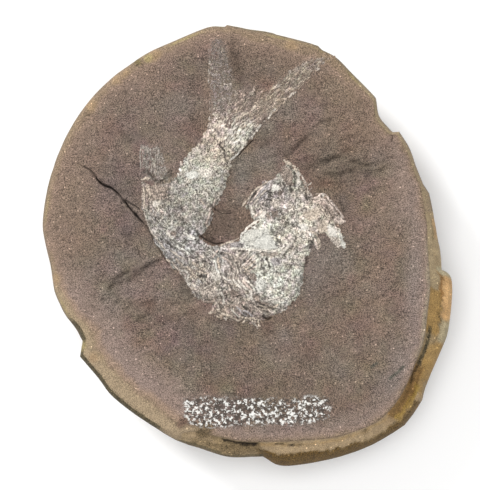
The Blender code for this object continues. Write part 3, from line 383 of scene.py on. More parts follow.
PLATES = [   # outline, colour, rise and mottling of distinct plates
    ([(-1.2, 2.0), (-0.5, 3.3), (0.7, 3.8), (2.5, 4.0), (4.3, 4.2), (5.2, 3.6), (5.3, 2.2), (6.3, 1.1),
     (7.1, 0.0), (6.5, -0.8), (3.4, -0.9), (0.7, -1.0), (-1.1, -0.5), (-1.6, 0.9)], PEARL, 0.22, 0.18),
    ([(1.8, 1.4), (2.9, 2.0), (4.3, 2.7), (5.4, 2.2), (6.1, 1.1), (6.8, 0.0), (5.2, -0.8), (3.1, -0.9),
     (1.6, -0.2)], MILK, 0.02, 0.06),
    ([(-13.8, 15.8), (-13.4, 16.5), (-12.4, 16.9), (-11.2, 16.8), (-10.8, 16.2), (-11.5, 15.4),
     (-12.6, 15.1), (-13.5, 15.3)], MILK, 0.1, 0.2),
    ([(-10.6, 17.1), (-9.2, 17.7), (-7.9, 17.3), (-7.7, 16.0), (-8.8, 15.3),
      (-10.3, 15.8)], CREAM, 0.05, 0.6),
    ([(-21.3, 9.5), (-20.9, 10.1), (-20.2, 10.2), (-19.9, 9.7), (-20.2, 9.0),
      (-20.9, 8.9)], CREAM, 0.12, 0.15),
    ([(-13.6, 2.0), (-13.3, 2.6), (-12.6, 2.4), (-11.9, 1.8), (-12.3, 1.2), (-13.1, 1.5)], MILK, 0.14, 0.15),
    ([(-14.5, 2.5), (-14.0, 2.8), (-13.3, 2.5), (-13.7, 2.0)], BONE, 0.08, 0.25),
    ([(-16.9, 3.7), (-16.4, 4.0), (-15.9, 3.6), (-16.1, 3.2), (-16.7, 3.3)], BONE, 0.08, 0.2),
    ([(-17.1, 2.9), (-16.2, 3.3), (-15.6, 2.7), (-15.9, 2.0), (-16.7, 2.1)], BARE, -0.05, 0.35),
    ([(5.5, 12.9), (5.9, 13.6), (6.8, 13.7), (7.1, 13.2), (6.9, 12.4), (5.9, 12.4)], CHALK, 0.14, 0.12),
    ([(7.0, 12.2), (7.7, 12.4), (7.9, 11.8), (7.6, 11.2), (7.0, 11.4)], GLOOM, -0.08, 0.35),
    ([(2.5, 10.3), (2.4, 11.5), (3.1, 12.8), (4.3, 14.0), (5.2, 14.1), (5.2, 13.1), (4.6, 11.5),
     (3.6, 10.3)], SLATE, 0.0, 0.75),
    ([(5.2, 10.3), (6.1, 10.7), (7.2, 10.3), (7.4, 9.2), (6.8, 8.4), (5.6, 8.8), (5.1, 9.7)], DUN, 0.04, 0.6),
    ([(3.1, 7.5), (4.2, 8.0), (4.6, 7.4), (3.8, 6.9), (4.0, 6.1), (3.0, 6.0), (2.7, 6.8)], CREAM, 0.08, 0.3),
    ([(5.6, 7.8), (6.8, 8.0), (7.2, 7.2), (6.8, 6.3), (5.6, 6.4)], BARE, -0.05, 0.35),
    ([(4.3, 7.1), (5.2, 7.4), (5.6, 6.5), (5.0, 6.0), (4.3, 6.3)], UMBER, -0.06, 0.4),
    ([(11.5, 4.0), (11.7, 4.8), (12.6, 5.1), (13.4, 4.7), (13.5, 3.8), (12.8, 3.3),
     (11.9, 3.4)], CHALK, 0.12, 0.15),
    ([(12.6, 7.3), (14.2, 8.3), (15.8, 8.6), (16.5, 7.9), (16.2, 6.3), (14.6, 5.6),
     (13.1, 6.0)], SAND, 0.05, 0.25),
    ([(15.9, 3.8), (16.4, 5.2), (17.3, 6.0), (18.1, 5.2), (18.1, 3.5), (17.1, 2.7),
     (16.2, 3.1)], SAND, 0.1, 0.3),
    ([(18.0, 4.4), (19.0, 4.7), (20.0, 3.7), (20.6, 2.6), (20.0, 1.6), (19.0, 2.0),
     (18.2, 3.1)], CHALK, 0.16, 0.12),
    ([(18.9, 2.0), (20.2, 1.8), (21.2, 0.7), (21.4, -0.3), (20.2, -0.5), (19.2, 0.6)], DUN, 0.08, 0.2),
    ([(20.4, 3.3), (21.3, 2.6), (21.9, 1.6), (22.2, -0.5), (21.4, -0.5), (21.0, 1.1)], PEARL, 0.12, 0.2),
    ([(17.3, 8.7), (18.7, 8.9), (19.7, 7.4), (19.8, 6.3), (18.9, 6.0), (18.0, 7.1)], UMBER, -0.06, 0.45),
    ([(19.4, 6.2), (20.5, 6.6), (21.7, 6.3), (22.3, 5.3), (21.2, 5.0), (19.8, 5.3)], PINK_BONE, 0.1, 0.4),
    ([(7.7, 18.2), (8.8, 18.2), (10.1, 16.9), (10.5, 15.5), (10.5, 13.7), (9.5, 13.4), (8.3, 14.6),
     (7.5, 16.7)], BARE, -0.12, 0.7),
    ([(-8.1, -6.0), (-7.3, -4.5), (-6.3, -4.7), (-5.6, -5.9), (-5.7, -7.2), (-6.5, -8.0), (-7.5, -7.7),
     (-8.4, -6.8)], BONE, 0.14, 0.4),
    ([(-10.6, -8.6), (-9.0, -8.2), (-7.3, -8.4), (-6.8, -9.9), (-7.2, -11.4), (-8.6, -12.2), (-9.8, -11.7),
     (-10.5, -10.1)], DRAB, 0.08, 0.7),
    ([(-4.0, -10.0), (-2.6, -9.9), (-2.0, -10.8), (-2.4, -11.6), (-3.5, -11.4)], BARE, -0.1, 0.35),
    ([(-3.0, -11.9), (-2.2, -11.4), (-1.4, -11.8), (-1.5, -12.8), (-2.5, -13.2)], DRAB, 0.05, 0.4),
    ([(0.5, -6.2), (1.7, -6.2), (2.2, -7.0), (1.9, -7.9), (0.6, -7.7)], BARE, -0.12, 0.35),
    ([(5.3, -2.8), (6.5, -2.4), (7.7, -2.9), (7.4, -4.3), (5.9, -4.5)], SLATE, 0.03, 0.4),
    ([(2.0, -9.0), (2.5, -7.3), (3.8, -7.4), (4.5, -8.8), (3.8, -10.2), (2.5, -10.1)], PEARL, 0.08, 0.35),
    ([(3.4, -1.4), (5.2, -1.3), (7.0, -1.7), (6.8, -2.5), (4.7, -2.6), (3.4, -2.2)], DRAB, -0.08, 0.5),
    ([(1.2, -11.2), (2.0, -10.8), (2.9, -11.1), (2.7, -12.0), (1.6, -12.0)], UMBER, 0.0, 0.35),
    ([(-22.5, 13.1), (-20.7, 13.5), (-18.2, 13.4), (-17.8, 11.9), (-18.2, 10.6), (-20.0, 10.5),
     (-22.1, 10.3)], UMBER, 0.02, 0.8),
    ([(-3.8, 0.5), (-2.5, 1.0), (-0.9, 0.9), (-0.5, 0.0), (-1.6, -0.6), (-3.4, -0.5)], SLATE, 0.02, 0.5),
]
STROKES = [   # centre line, half width and colour of rays, ribs and the edges of bones
    ([(-3.7, 19.4), (-2.7, 20.2), (-1.6, 21.2)], 0.25, CHALK),
    ([(-1.1, 8.8), (-0.3, 10.0), (0.5, 10.9), (1.2, 11.9), (2.2, 12.9), (3.4, 13.7), (4.7, 14.6)], 0.2, SAND),
    ([(0.7, 9.7), (1.6, 10.8), (2.5, 12.3), (3.6, 13.3)], 0.18, PINK_BONE),
    ([(1.4, 9.2), (2.5, 10.6), (3.4, 11.7), (4.5, 12.7)], 0.16, DUN),
    ([(0.6, 9.2), (1.0, 8.1), (1.5, 7.0)], 0.29, CREAM),
    ([(1.6, 6.4), (2.5, 7.2), (3.4, 7.7)], 0.2, PINK_BONE),
    ([(1.9, 6.1), (3.1, 6.5)], 0.23, CHALK), ([(-0.5, 3.6), (0.7, 4.5), (2.0, 5.4), (3.1, 6.1)], 0.25, CREAM),
    ([(-1.5, 1.8), (-1.0, 2.8), (-0.2, 3.6)], 0.2, CHALK),
    ([(-4.0, -0.6), (-2.0, -0.6), (0.7, -0.9), (3.4, -1.0), (5.4, -1.3), (7.2, -0.8)], 0.2, CREAM),
    ([(-6.3, -0.2), (-5.6, 0.3), (-4.3, 0.8), (-3.1, 1.1), (-1.8, 1.8)], 0.18, SAND),
    ([(7.3, -2.7), (7.9, -1.8), (8.6, -0.9), (9.5, 0.2), (10.3, 0.8)], 0.25, BONE),
    ([(8.2, 9.2), (8.9, 8.3)], 0.29, CHALK), ([(-1.4, -3.7), (-0.6, -2.6), (0.3, -1.8)], 0.16, DRAB),
    ([(-1.0, -5.0), (0.1, -3.5), (1.1, -2.5), (1.8, -2.0)], 0.18, PINK_BONE),
    ([(-0.7, -5.9), (0.6, -4.4), (1.9, -3.3)], 0.18, SAND),
    ([(-0.2, -6.8), (0.8, -5.4), (2.1, -4.4)], 0.16, PINK_BONE),
    ([(-0.9, -4.5), (0.0, -5.5), (0.7, -6.5)], 0.16, SAND),
    ([(-1.8, -3.6), (-1.5, -5.0), (-1.2, -6.5)], 0.16, DUN),
    ([(-2.9, -3.6), (-2.2, -5.0), (-2.0, -6.5), (-1.9, -7.9)], 0.16, DUN),
    ([(-4.0, -3.8), (-3.4, -5.0), (-2.9, -6.3), (-3.1, -7.7)], 0.16, DUN),
    ([(-5.6, -2.5), (-4.5, -3.1), (-3.4, -4.3), (-2.7, -5.4)], 0.2, PINK_BONE),
    ([(-5.2, -1.4), (-3.6, -2.0), (-2.0, -3.0), (-1.4, -3.8)], 0.16, DRAB),
    ([(-5.7, -6.6), (-4.8, -7.4), (-3.7, -7.8)], 0.23, BONE),
    ([(-6.5, -0.9), (-7.3, -1.8), (-7.7, -2.7)], 0.18, PINK_BONE),
    ([(-8.1, -0.9), (-7.0, -1.9), (-6.3, -2.6)], 0.18, BONE),
    ([(-6.4, -2.5), (-6.5, -3.6), (-6.2, -5.0)], 0.25, SAND),
    ([(-3.1, -7.5), (-2.2, -8.6), (-1.2, -9.6)], 0.23, CREAM),
    ([(-2.0, -7.7), (-0.9, -9.0), (0.1, -9.9)], 0.23, CREAM),
    ([(-0.9, -7.9), (0.2, -9.0), (1.2, -10.0)], 0.23, PINK_BONE), ([(0.1, -7.8), (1.2, -9.0)], 0.2, CREAM),
    ([(-3.6, -8.3), (-2.9, -9.5), (-1.6, -10.1)], 0.18, DUN),
    ([(-10.6, -11.8), (-9.7, -12.5), (-8.6, -12.7), (-7.5, -12.3), (-6.8, -11.2)], 0.23, UMBER),
    ([(-10.1, -10.3), (-9.7, -11.6), (-8.7, -11.7)], 0.16, DRAB),
    ([(-9.9, -9.7), (-8.8, -9.1), (-7.7, -8.4), (-6.8, -8.1)], 0.23, DUN),
    ([(-5.7, -10.3), (-5.3, -11.7), (-5.1, -13.3)], 0.27, BONE),
    ([(-6.5, -13.5), (-5.2, -13.3), (-4.3, -12.5)], 0.2, DRAB),
    ([(-6.9, -12.4), (-6.4, -13.5), (-6.3, -14.6)], 0.23, DRAB),
    ([(0.8, -10.0), (1.0, -11.0), (1.0, -12.2)], 0.32, BONE), ([(-8.7, -15.2), (-7.9, -15.1)], 0.2, SAND),
    ([(-7.4, -16.0), (-7.0, -15.1), (-6.4, -15.6)], 0.18, UMBER),
    ([(-3.6, -14.1), (-2.5, -15.4), (-1.6, -16.2)], 0.18, BONE),
    ([(-2.4, -13.6), (-1.1, -15.0), (0.0, -15.8)], 0.18, SLATE),
    ([(-1.1, -14.5), (0.0, -14.8), (1.4, -16.0)], 0.18, SLATE),
    ([(0.7, -12.9), (2.0, -13.8), (3.4, -15.1)], 0.18, DRAB),
    ([(2.0, -12.0), (3.4, -12.8), (5.0, -13.1)], 0.18, UMBER),
    ([(2.7, -13.3), (4.3, -13.8), (5.9, -13.6)], 0.16, SAND), ([(-5.2, -16.1), (-4.6, -16.7)], 0.27, DUN),
    ([(-1.0, -17.4), (-0.3, -16.5), (1.1, -16.2), (2.0, -16.7)], 0.2, SAND),
    ([(2.4, -16.4), (2.8, -18.3)], 0.2, SAND), ([(8.2, 19.4), (9.0, 18.8), (10.1, 18.3)], 0.34, SAND),
    ([(10.1, 18.2), (11.2, 17.2), (12.2, 16.0)], 0.38, SAND),
    ([(11.5, 16.7), (11.7, 15.3), (11.7, 13.5)], 0.45, BONE),
    ([(12.2, 16.0), (12.9, 14.8), (13.5, 13.3), (14.0, 11.5)], 0.23, DRAB),
    ([(12.6, 12.5), (13.6, 13.5), (14.6, 14.3)], 0.14, DUN),
    ([(11.9, 13.3), (12.7, 12.0), (13.5, 10.7)], 0.16, DUN),
    ([(13.1, 11.1), (14.0, 12.3), (14.7, 13.2)], 0.14, DRAB),
    ([(11.2, 11.0), (12.2, 12.3), (12.8, 13.1)], 0.16, DUN),
    ([(13.7, 14.4), (13.3, 13.1), (13.3, 11.9)], 0.14, UMBER),
    ([(14.7, 10.6), (15.8, 11.0), (16.9, 11.8), (17.8, 11.4), (18.9, 10.0), (20.0, 8.8), (20.9, 7.5),
     (21.8, 6.1)], 0.23, PINK_BONE),
    ([(14.8, 9.7), (16.0, 10.2), (17.1, 10.5), (18.2, 9.6), (19.4, 8.3), (20.2, 7.0)], 0.18, PINK_BONE),
    ([(17.0, 11.8), (17.4, 11.1)], 0.23, CREAM),
    ([(16.2, 9.0), (17.0, 8.1), (17.8, 6.9), (18.7, 5.7)], 0.18, SAND),
    ([(14.4, 3.3), (15.4, 2.8), (16.0, 1.7), (16.2, 0.2), (16.0, -0.9)], 0.27, SAND),
    ([(15.0, 1.8), (15.5, 0.7), (15.8, -0.7)], 0.18, PINK_BONE),
    ([(-17.7, 2.7), (-17.1, 2.1), (-16.4, 1.4)], 0.25, CREAM),
    ([(-14.6, 11.0), (-14.0, 11.6), (-13.2, 12.0)], 0.18, SLATE),
    ([(-22.7, 6.1), (-21.6, 3.4), (-20.5, 1.8), (-19.4, 0.5), (-18.4, -0.9)], 0.16, DUN),
    ([(-16.9, -3.6), (-16.0, -4.7), (-14.8, -5.9)], 0.2, DRAB),
    ([(-16.0, -2.9), (-14.8, -4.3), (-14.0, -5.4)], 0.2, DRAB),
    ([(-15.1, -3.6), (-14.1, -4.7), (-13.1, -5.9)], 0.2, DRAB), ([(-18.2, -3.0), (-17.3, -3.7)], 0.2, SAND),
    ([(-14.8, -5.6), (-13.8, -5.6), (-13.3, -6.5), (-13.5, -7.5), (-14.2, -7.0)], 0.23, BONE),
    ([(-13.6, -7.7), (-13.2, -8.7), (-12.6, -8.3)], 0.23, BONE),
    ([(-12.8, -7.0), (-11.9, -6.5), (-11.2, -7.2)], 0.2, SAND),
    ([(-15.0, 19.1), (-14.6, 18.2)], 0.2, PINK_BONE), ([(-15.2, 17.6), (-14.8, 16.7)], 0.2, CHALK),
    ([(-15.6, 16.5), (-15.3, 15.9)], 0.18, CREAM), ([(-9.9, 12.3), (-9.2, 11.7), (-8.8, 10.9)], 0.25, BONE),
    ([(-10.2, 7.4), (-9.8, 6.5)], 0.2, CREAM), ([(-9.3, 5.3), (-8.9, 4.3)], 0.23, SAND),
    ([(-19.4, 7.9), (-18.9, 7.4)], 0.2, PINK_BONE), ([(-13.6, 6.5), (-13.3, 6.2)], 0.23, BONE),
    ([(-7.4, 16.9), (-6.5, 15.8), (-5.9, 16.0)], 0.23, CREAM), ([(-22.4, 15.2), (-22.1, 14.8)], 0.27, SAND),
    ([(-7.7, 9.2), (-8.3, 7.7), (-8.8, 6.1), (-9.2, 4.5)], 0.18, PINK_BONE),
    ([(-7.0, 10.6), (-7.7, 9.0)], 0.16, PINK_BONE), ([(-10.6, 10.6), (-9.5, 9.2)], 0.16, SAND),
    ([(-16.0, 0.0), (-14.2, -0.9), (-12.8, -2.0)], 0.18, PEARL),
    ([(-16.9, 1.8), (-15.3, 0.7), (-13.7, 0.0)], 0.18, PEARL),
    ([(-14.2, 3.0), (-12.8, 2.2), (-11.7, 1.6)], 0.25, CHALK),
    ([(-17.3, -0.9), (-15.5, -2.2), (-13.7, -3.1)], 0.16, DUN), ([(-18.2, 3.4), (-17.4, 2.8)], 0.18, CREAM),
    ([(-12.4, -3.6), (-11.0, -4.7), (-9.5, -5.4)], 0.18, SAND),
    ([(-11.5, -5.4), (-9.9, -6.1), (-8.6, -6.1)], 0.18, SAND),
    ([(-13.5, -4.5), (-12.4, -5.9), (-11.5, -7.4)], 0.18, SAND),
    ([(-7.0, -3.6), (-6.9, -5.0), (-6.3, -6.1)], 0.2, MILK),
    ([(4.7, -12.2), (6.5, -11.7), (8.1, -11.0)], 0.18, CREAM),
    ([(3.4, -14.2), (5.2, -14.2), (7.2, -13.1)], 0.18, SAND),
    ([(-1.6, -15.8), (0.0, -16.3), (1.6, -17.1)], 0.18, SAND),
    ([(-4.7, -15.1), (-3.1, -16.2), (-1.8, -17.1)], 0.18, SAND),
    ([(-7.0, -14.2), (-5.6, -15.1), (-4.0, -15.8)], 0.18, SAND),
    ([(1.1, -17.1), (2.0, -17.9), (2.5, -18.7)], 0.18, DUN),
    ([(-23.4, 13.5), (-23.1, 11.2), (-23.2, 9.0)], 0.18, SAND),
    ([(-22.3, 13.3), (-21.8, 11.7), (-22.1, 10.1)], 0.16, SAND),
    ([(-23.9, 14.8), (-22.7, 15.2), (-21.8, 15.3)], 0.23, SAND),
]
RAGGED = [   # centre line, half width, colour and missing share of crumbled edges and rays
    ([(-1.8, 21.3), (-0.5, 22.7), (0.9, 24.2), (2.0, 25.8)], 0.23, CREAM, 0.6),
    ([(2.0, 25.9), (2.9, 26.9), (3.8, 28.1)], 0.32, CREAM, 0.3),
    ([(4.0, 28.1), (5.9, 30.4), (7.7, 32.2)], 0.27, CREAM, 0.65),
    ([(7.7, 32.2), (9.7, 33.6), (11.5, 35.6)], 0.27, DUN, 0.6),
    ([(11.5, 35.6), (13.1, 37.5), (14.6, 39.4)], 0.27, DRAB, 0.85),
    ([(6.3, 35.6), (8.1, 37.6), (9.9, 39.4)], 0.41, DRAB, 0.6),
    ([(-2.5, 28.4), (-0.2, 30.2), (2.2, 31.5)], 0.43, SAND, 0.5),
    ([(-3.8, 27.4), (-1.6, 28.8), (0.2, 29.7)], 0.23, DUN, 0.7),
    ([(-8.4, 41.9), (-8.6, 34.6), (-8.4, 26.6)], 0.23, DUN, 0.8),
    ([(-5.2, 36.5), (-4.0, 36.0), (-3.4, 36.7)], 0.2, DRAB, 0.6),
    ([(15.5, 39.6), (16.7, 40.5), (17.8, 41.4)], 0.41, DRAB, 0.6),
    ([(-9.2, 27.4), (-9.7, 24.8), (-10.8, 22.5)], 0.29, SAND, 0.6),
]
SLOTS = [   # centre line, half width and strength of the painted shade of the openings between the bones
    ([(-5.1, 21.4), (-4.9, 20.0), (-4.4, 18.7)], 0.2, 0.75),
    ([(-6.5, 22.8), (-5.6, 22.2), (-5.0, 21.4)], 0.23, 0.8), ([(-5.9, 23.2), (-6.3, 22.3)], 0.16, 0.7),
    ([(-15.9, 15.2), (-15.3, 14.0)], 0.18, 0.75), ([(-17.6, 13.5), (-17.6, 11.7), (-17.6, 9.7)], 0.16, 0.55),
    ([(-17.6, 9.0), (-17.6, 6.5)], 0.14, 0.45), ([(-13.5, 14.0), (-12.8, 12.8)], 0.2, 0.65),
    ([(-12.6, 14.3), (-11.9, 13.5)], 0.16, 0.45), ([(-8.6, 9.7), (-7.9, 9.0), (-7.7, 8.1)], 0.25, 0.6),
    ([(-12.2, 10.6), (-11.7, 9.5)], 0.25, 0.45), ([(-20.7, 5.9), (-19.1, 4.5), (-18.0, 3.8)], 0.23, 0.55),
    ([(-20.0, 3.8), (-18.9, 2.7)], 0.2, 0.5), ([(-13.7, 3.8), (-12.8, 2.9)], 0.32, 0.55),
    ([(-14.3, 1.8), (-13.3, 1.2), (-12.2, 1.0)], 0.18, 0.7), ([(-11.7, 1.4), (-10.7, 0.5)], 0.29, 0.8),
    ([(-17.8, 1.1), (-17.1, -0.2), (-16.4, -0.7)], 0.29, 0.7), ([(-19.6, 1.8), (-18.7, 0.7)], 0.18, 0.6),
    ([(-16.9, 6.2), (-16.0, 5.6)], 0.14, 0.45), ([(-9.9, 7.0), (-9.7, 5.4)], 0.16, 0.45),
    ([(-9.5, 10.3), (-8.8, 9.5)], 0.16, 0.5), ([(-15.1, 8.4), (-13.7, 8.2)], 0.14, 0.4),
    ([(-11.5, 12.6), (-11.0, 11.2)], 0.14, 0.4), ([(1.0, 10.8), (2.0, 12.3)], 0.25, 0.95),
    ([(4.7, 12.4), (5.3, 11.6), (5.2, 10.8)], 0.34, 0.85), ([(4.4, 10.5), (5.7, 10.1)], 0.23, 0.8),
    ([(6.3, 12.3), (6.6, 11.2)], 0.18, 0.6), ([(8.1, 14.3), (8.6, 13.2)], 0.27, 0.75),
    ([(9.7, 13.6), (10.2, 11.9)], 0.32, 0.85), ([(8.8, 12.6), (9.0, 11.5)], 0.18, 0.5),
    ([(3.4, 9.6), (4.6, 8.9)], 0.29, 0.55), ([(4.8, 9.6), (5.5, 8.7)], 0.27, 0.5),
    ([(2.4, 7.7), (3.0, 8.4)], 0.18, 0.65), ([(7.4, 8.3), (8.1, 7.2), (8.6, 6.2)], 0.29, 0.6),
    ([(6.5, 6.1), (7.7, 5.9)], 0.18, 0.5), ([(5.5, 3.8), (6.2, 2.7)], 0.29, 0.6),
    ([(6.7, 1.8), (6.8, 0.1)], 0.36, 0.65), ([(7.5, 1.4), (7.8, -0.3)], 0.25, 0.55),
    ([(-1.6, 0.6), (-0.7, -0.2)], 0.29, 0.6), ([(-0.2, 0.3), (0.7, -0.1), (1.6, -0.1)], 0.18, 0.55),
    ([(-2.0, -1.2), (-0.5, -1.2)], 0.16, 0.75), ([(-6.2, -1.7), (-5.1, -1.9)], 0.34, 0.8),
    ([(4.3, -2.6), (4.8, -3.6)], 0.29, 0.85), ([(5.0, -4.0), (5.2, -5.1)], 0.27, 0.85),
    ([(3.3, -4.8), (4.5, -5.3)], 0.2, 0.7), ([(3.4, -2.7), (3.7, -3.8)], 0.2, 0.6),
    ([(-0.8, -3.3), (-0.2, -3.7)], 0.23, 0.65), ([(1.1, -3.6), (1.9, -4.4)], 0.29, 0.7),
    ([(0.8, -5.1), (2.0, -5.1)], 0.16, 0.55), ([(8.4, -2.4), (9.0, -1.2)], 0.18, 0.65),
    ([(6.8, -2.9), (7.3, -4.0)], 0.2, 0.6), ([(8.8, 5.5), (9.5, 4.5)], 0.18, 0.55),
    ([(10.1, 4.7), (11.4, 4.4)], 0.23, 0.65), ([(9.7, 3.5), (10.0, 3.0)], 0.18, 0.55),
    ([(11.7, 4.3), (12.2, 3.8)], 0.18, 0.8), ([(12.6, 1.5), (13.7, 1.7)], 0.18, 0.5),
    ([(14.1, 1.4), (14.5, 0.2), (14.7, -0.9)], 0.45, 0.75), ([(9.7, 7.0), (10.1, 6.5)], 0.18, 0.5),
    ([(12.7, 8.6), (13.5, 8.2)], 0.16, 0.5), ([(10.7, 16.5), (10.8, 14.8), (10.8, 13.2)], 0.25, 0.85),
    ([(13.2, 11.9), (13.6, 10.2)], 0.32, 0.65), ([(12.4, 14.4), (12.7, 13.3)], 0.18, 0.6),
    ([(-10.7, -7.0), (-9.9, -6.8), (-9.2, -7.1)], 0.32, 0.85), ([(-10.2, -7.9), (-9.8, -8.7)], 0.2, 0.65),
    ([(-9.1, -7.9), (-8.4, -8.7)], 0.2, 0.7), ([(-13.5, -3.4), (-12.6, -4.7)], 0.18, 0.6),
    ([(-11.6, -3.3), (-10.9, -3.7)], 0.2, 0.6), ([(-9.9, -3.1), (-9.2, -3.7)], 0.25, 0.7),
    ([(-12.8, -2.6), (-12.0, -2.7)], 0.16, 0.65), ([(-11.5, -1.4), (-10.8, -2.0)], 0.18, 0.4),
    ([(-14.4, -9.0), (-13.5, -10.1)], 0.2, 0.5), ([(-5.4, -7.8), (-4.7, -8.6)], 0.25, 0.6),
    ([(-4.3, -8.1), (-3.4, -9.5)], 0.29, 0.65), ([(-6.8, -8.6), (-6.3, -9.6)], 0.23, 0.6),
    ([(-5.9, -9.5), (-4.7, -9.9)], 0.23, 0.55), ([(-2.5, -11.4), (-1.2, -11.1)], 0.2, 0.9),
    ([(-0.7, -10.7), (0.5, -10.8)], 0.16, 0.5), ([(1.4, -10.9), (2.5, -11.1)], 0.2, 0.8),
    ([(-0.9, -13.7), (0.1, -14.1)], 0.25, 0.75), ([(-3.1, -15.1), (-2.1, -16.0)], 0.18, 0.7),
    ([(-0.9, -15.1), (0.1, -15.5)], 0.18, 0.7), ([(0.7, -14.4), (1.7, -15.5)], 0.2, 0.7),
    ([(2.0, -12.5), (4.0, -13.4)], 0.18, 0.65), ([(2.2, -13.6), (4.0, -14.1)], 0.18, 0.7),
    ([(3.4, -15.6), (4.3, -16.2)], 0.27, 0.85), ([(4.7, -13.7), (6.1, -14.3)], 0.25, 0.7),
    ([(4.3, -14.8), (5.4, -15.2)], 0.2, 0.7), ([(6.5, -9.5), (8.1, -9.7)], 0.29, 0.6),
    ([(6.9, -10.8), (7.4, -11.5)], 0.34, 0.5), ([(8.8, -10.3), (9.2, -11.5)], 0.18, 0.5),
    ([(12.8, -4.5), (13.5, -5.4)], 0.29, 0.6), ([(-5.9, -6.1), (-5.5, -7.2)], 0.18, 0.6),
    ([(-5.0, -5.6), (-4.5, -6.8)], 0.2, 0.55), ([(-1.6, -11.7), (-0.9, -13.3)], 0.2, 0.5),
    ([(-4.7, -11.2), (-4.0, -12.8)], 0.2, 0.45), ([(-7.4, -6.3), (-7.0, -7.2)], 0.11, 0.4),
    ([(17.0, 2.9), (17.6, 1.8)], 0.36, 0.5), ([(14.8, 7.9), (15.5, 7.2)], 0.11, 0.35),
    ([(16.9, 10.0), (18.0, 8.6), (18.9, 7.0), (19.6, 6.1)], 0.18, 0.6),
    ([(20.0, 9.2), (21.2, 7.7), (22.1, 5.9)], 0.18, 0.5),
    ([(15.8, 6.1), (16.7, 5.4), (17.1, 4.3)], 0.16, 0.4),
    ([(-13.7, 0.5), (-12.4, -0.5)], 0.2, 0.5), ([(-16.0, 1.4), (-14.8, 0.0)], 0.2, 0.5),
    ([(-18.9, 5.4), (-17.3, 4.7)], 0.16, 0.45), ([(-12.6, 4.0), (-11.2, 3.1), (-10.3, 2.0)], 0.2, 0.55),
    ([(-8.3, -3.6), (-8.1, -5.4)], 0.23, 0.5), ([(-4.7, -3.1), (-3.6, -4.5), (-3.1, -5.9)], 0.16, 0.5),
    ([(-2.5, -3.6), (-1.8, -5.4)], 0.14, 0.45), ([(-0.9, -5.6), (0.0, -6.8), (0.9, -7.7)], 0.16, 0.5),
    ([(-0.2, -2.7), (0.9, -3.6)], 0.14, 0.5), ([(0.5, -4.5), (1.6, -5.4)], 0.14, 0.5),
    ([(2.2, -1.6), (2.7, -2.9)], 0.16, 0.5), ([(9.0, -3.6), (10.1, -4.7)], 0.14, 0.4),
    ([(10.1, 0.0), (11.2, -0.9), (11.7, -2.2)], 0.14, 0.45), ([(8.3, -5.9), (9.7, -6.3)], 0.14, 0.4),
    ([(5.6, -11.2), (7.7, -10.6)], 0.18, 0.5), ([(3.8, -11.2), (5.2, -11.9)], 0.16, 0.5),
    ([(-4.3, -13.5), (-3.1, -14.6)], 0.18, 0.6), ([(-2.0, -14.6), (-0.9, -15.8)], 0.16, 0.6),
    ([(-6.3, -12.6), (-5.6, -14.2)], 0.18, 0.5), ([(-9.5, -12.8), (-7.9, -13.3)], 0.2, 0.5),
    ([(-23.6, 16.7), (-22.1, 16.2), (-20.9, 15.1), (-19.8, 14.4), (-18.2, 15.3), (-16.7, 16.7)], 0.29, 0.6),
]
WORN_BAND = [   # outline of the dark rubbed band near the bottom
    (-14.4, -34.2), (-14.6, -37.4), (-13.3, -40.1), (-10.6, -41.0), (-1.6, -40.7), (7.4, -40.5),
    (16.0, -40.1), (18.4, -38.2), (18.9, -35.1), (17.8, -33.8), (11.9, -34.0), (3.4, -34.2), (-3.8, -34.0),
    (-9.5, -33.8),
]


# ---- plane geometry ---------------------------------------------------------------------------------------
def spline(knots, closed, step):
    """Points about `step` mm apart along a Catmull-Rom curve, which breaks at knots marked CORNER."""
    xy = np.array([knot[:2] for knot in knots], float)
    sharp = [len(knot) > 2 for knot in knots]
    count = len(xy)
    out = []
    for i in range(count if closed else count - 1):
        j = (i + 1) % count
        before = xy[i - 1] if closed or i else 2 * xy[i] - xy[j]
        after = xy[(i + 2) % count] if closed or i + 2 < count else 2 * xy[j] - xy[i]
        if sharp[i]:
            before = 2 * xy[i] - xy[j]
        if sharp[j]:
            after = 2 * xy[j] - xy[i]
        spans = max(1, round(np.linalg.norm(xy[j] - xy[i]) / step))
        for k in range(spans):
            t = k / spans
            out.append(0.5 * (2 * xy[i] + (xy[j] - before) * t
                              + (2 * before - 5 * xy[i] + 4 * xy[j] - after) * t * t
                              + (3 * xy[i] - before - 3 * xy[j] + after) * t ** 3))
    if not closed:
        out.append(xy[-1])
    return np.array(out)


def line_distance(points, line):
    """Distance of each point from a polyline, the share of its length passed there, and 1 on its left."""
    start, along = line[:-1], line[1:] - line[:-1]
    length = np.maximum(np.linalg.norm(along, axis=1), 1e-9)
    passed = np.concatenate([[0.0], np.cumsum(length)])
    parts = []
    for first in range(0, len(points), AT_ONCE):
        some = points[first:first + AT_ONCE]
        offset = some[:, None, :] - start[None]
        t = np.clip((offset * along).sum(2) / length ** 2, 0.0, 1.0)
        gap = offset - t[..., None] * along
        distance = np.hypot(gap[..., 0], gap[..., 1])
        nearest = distance.argmin(axis=1)
        rows = np.arange(len(some))
        share = (passed[nearest] + t[rows, nearest] * length[nearest]) / passed[-1]
        near_offset, near_along = offset[rows, nearest], along[nearest]
        side = np.sign(near_along[:, 0] * near_offset[:, 1] - near_along[:, 1] * near_offset[:, 0])
        parts.append(np.array([distance[rows, nearest], share, side]))
    return np.concatenate(parts, axis=1)


def near_line(points, line, reach):
    """Like line_distance within reach of the line; farther away the distance is given as reach."""
    low, high = line.min(axis=0) - reach, line.max(axis=0) + reach
    close = np.all((points > low) & (points < high), axis=1)
    result = np.zeros((3, len(points)))
    result[0] = reach
    if close.any():
        result[:, close] = line_distance(points[close], line)
    return result


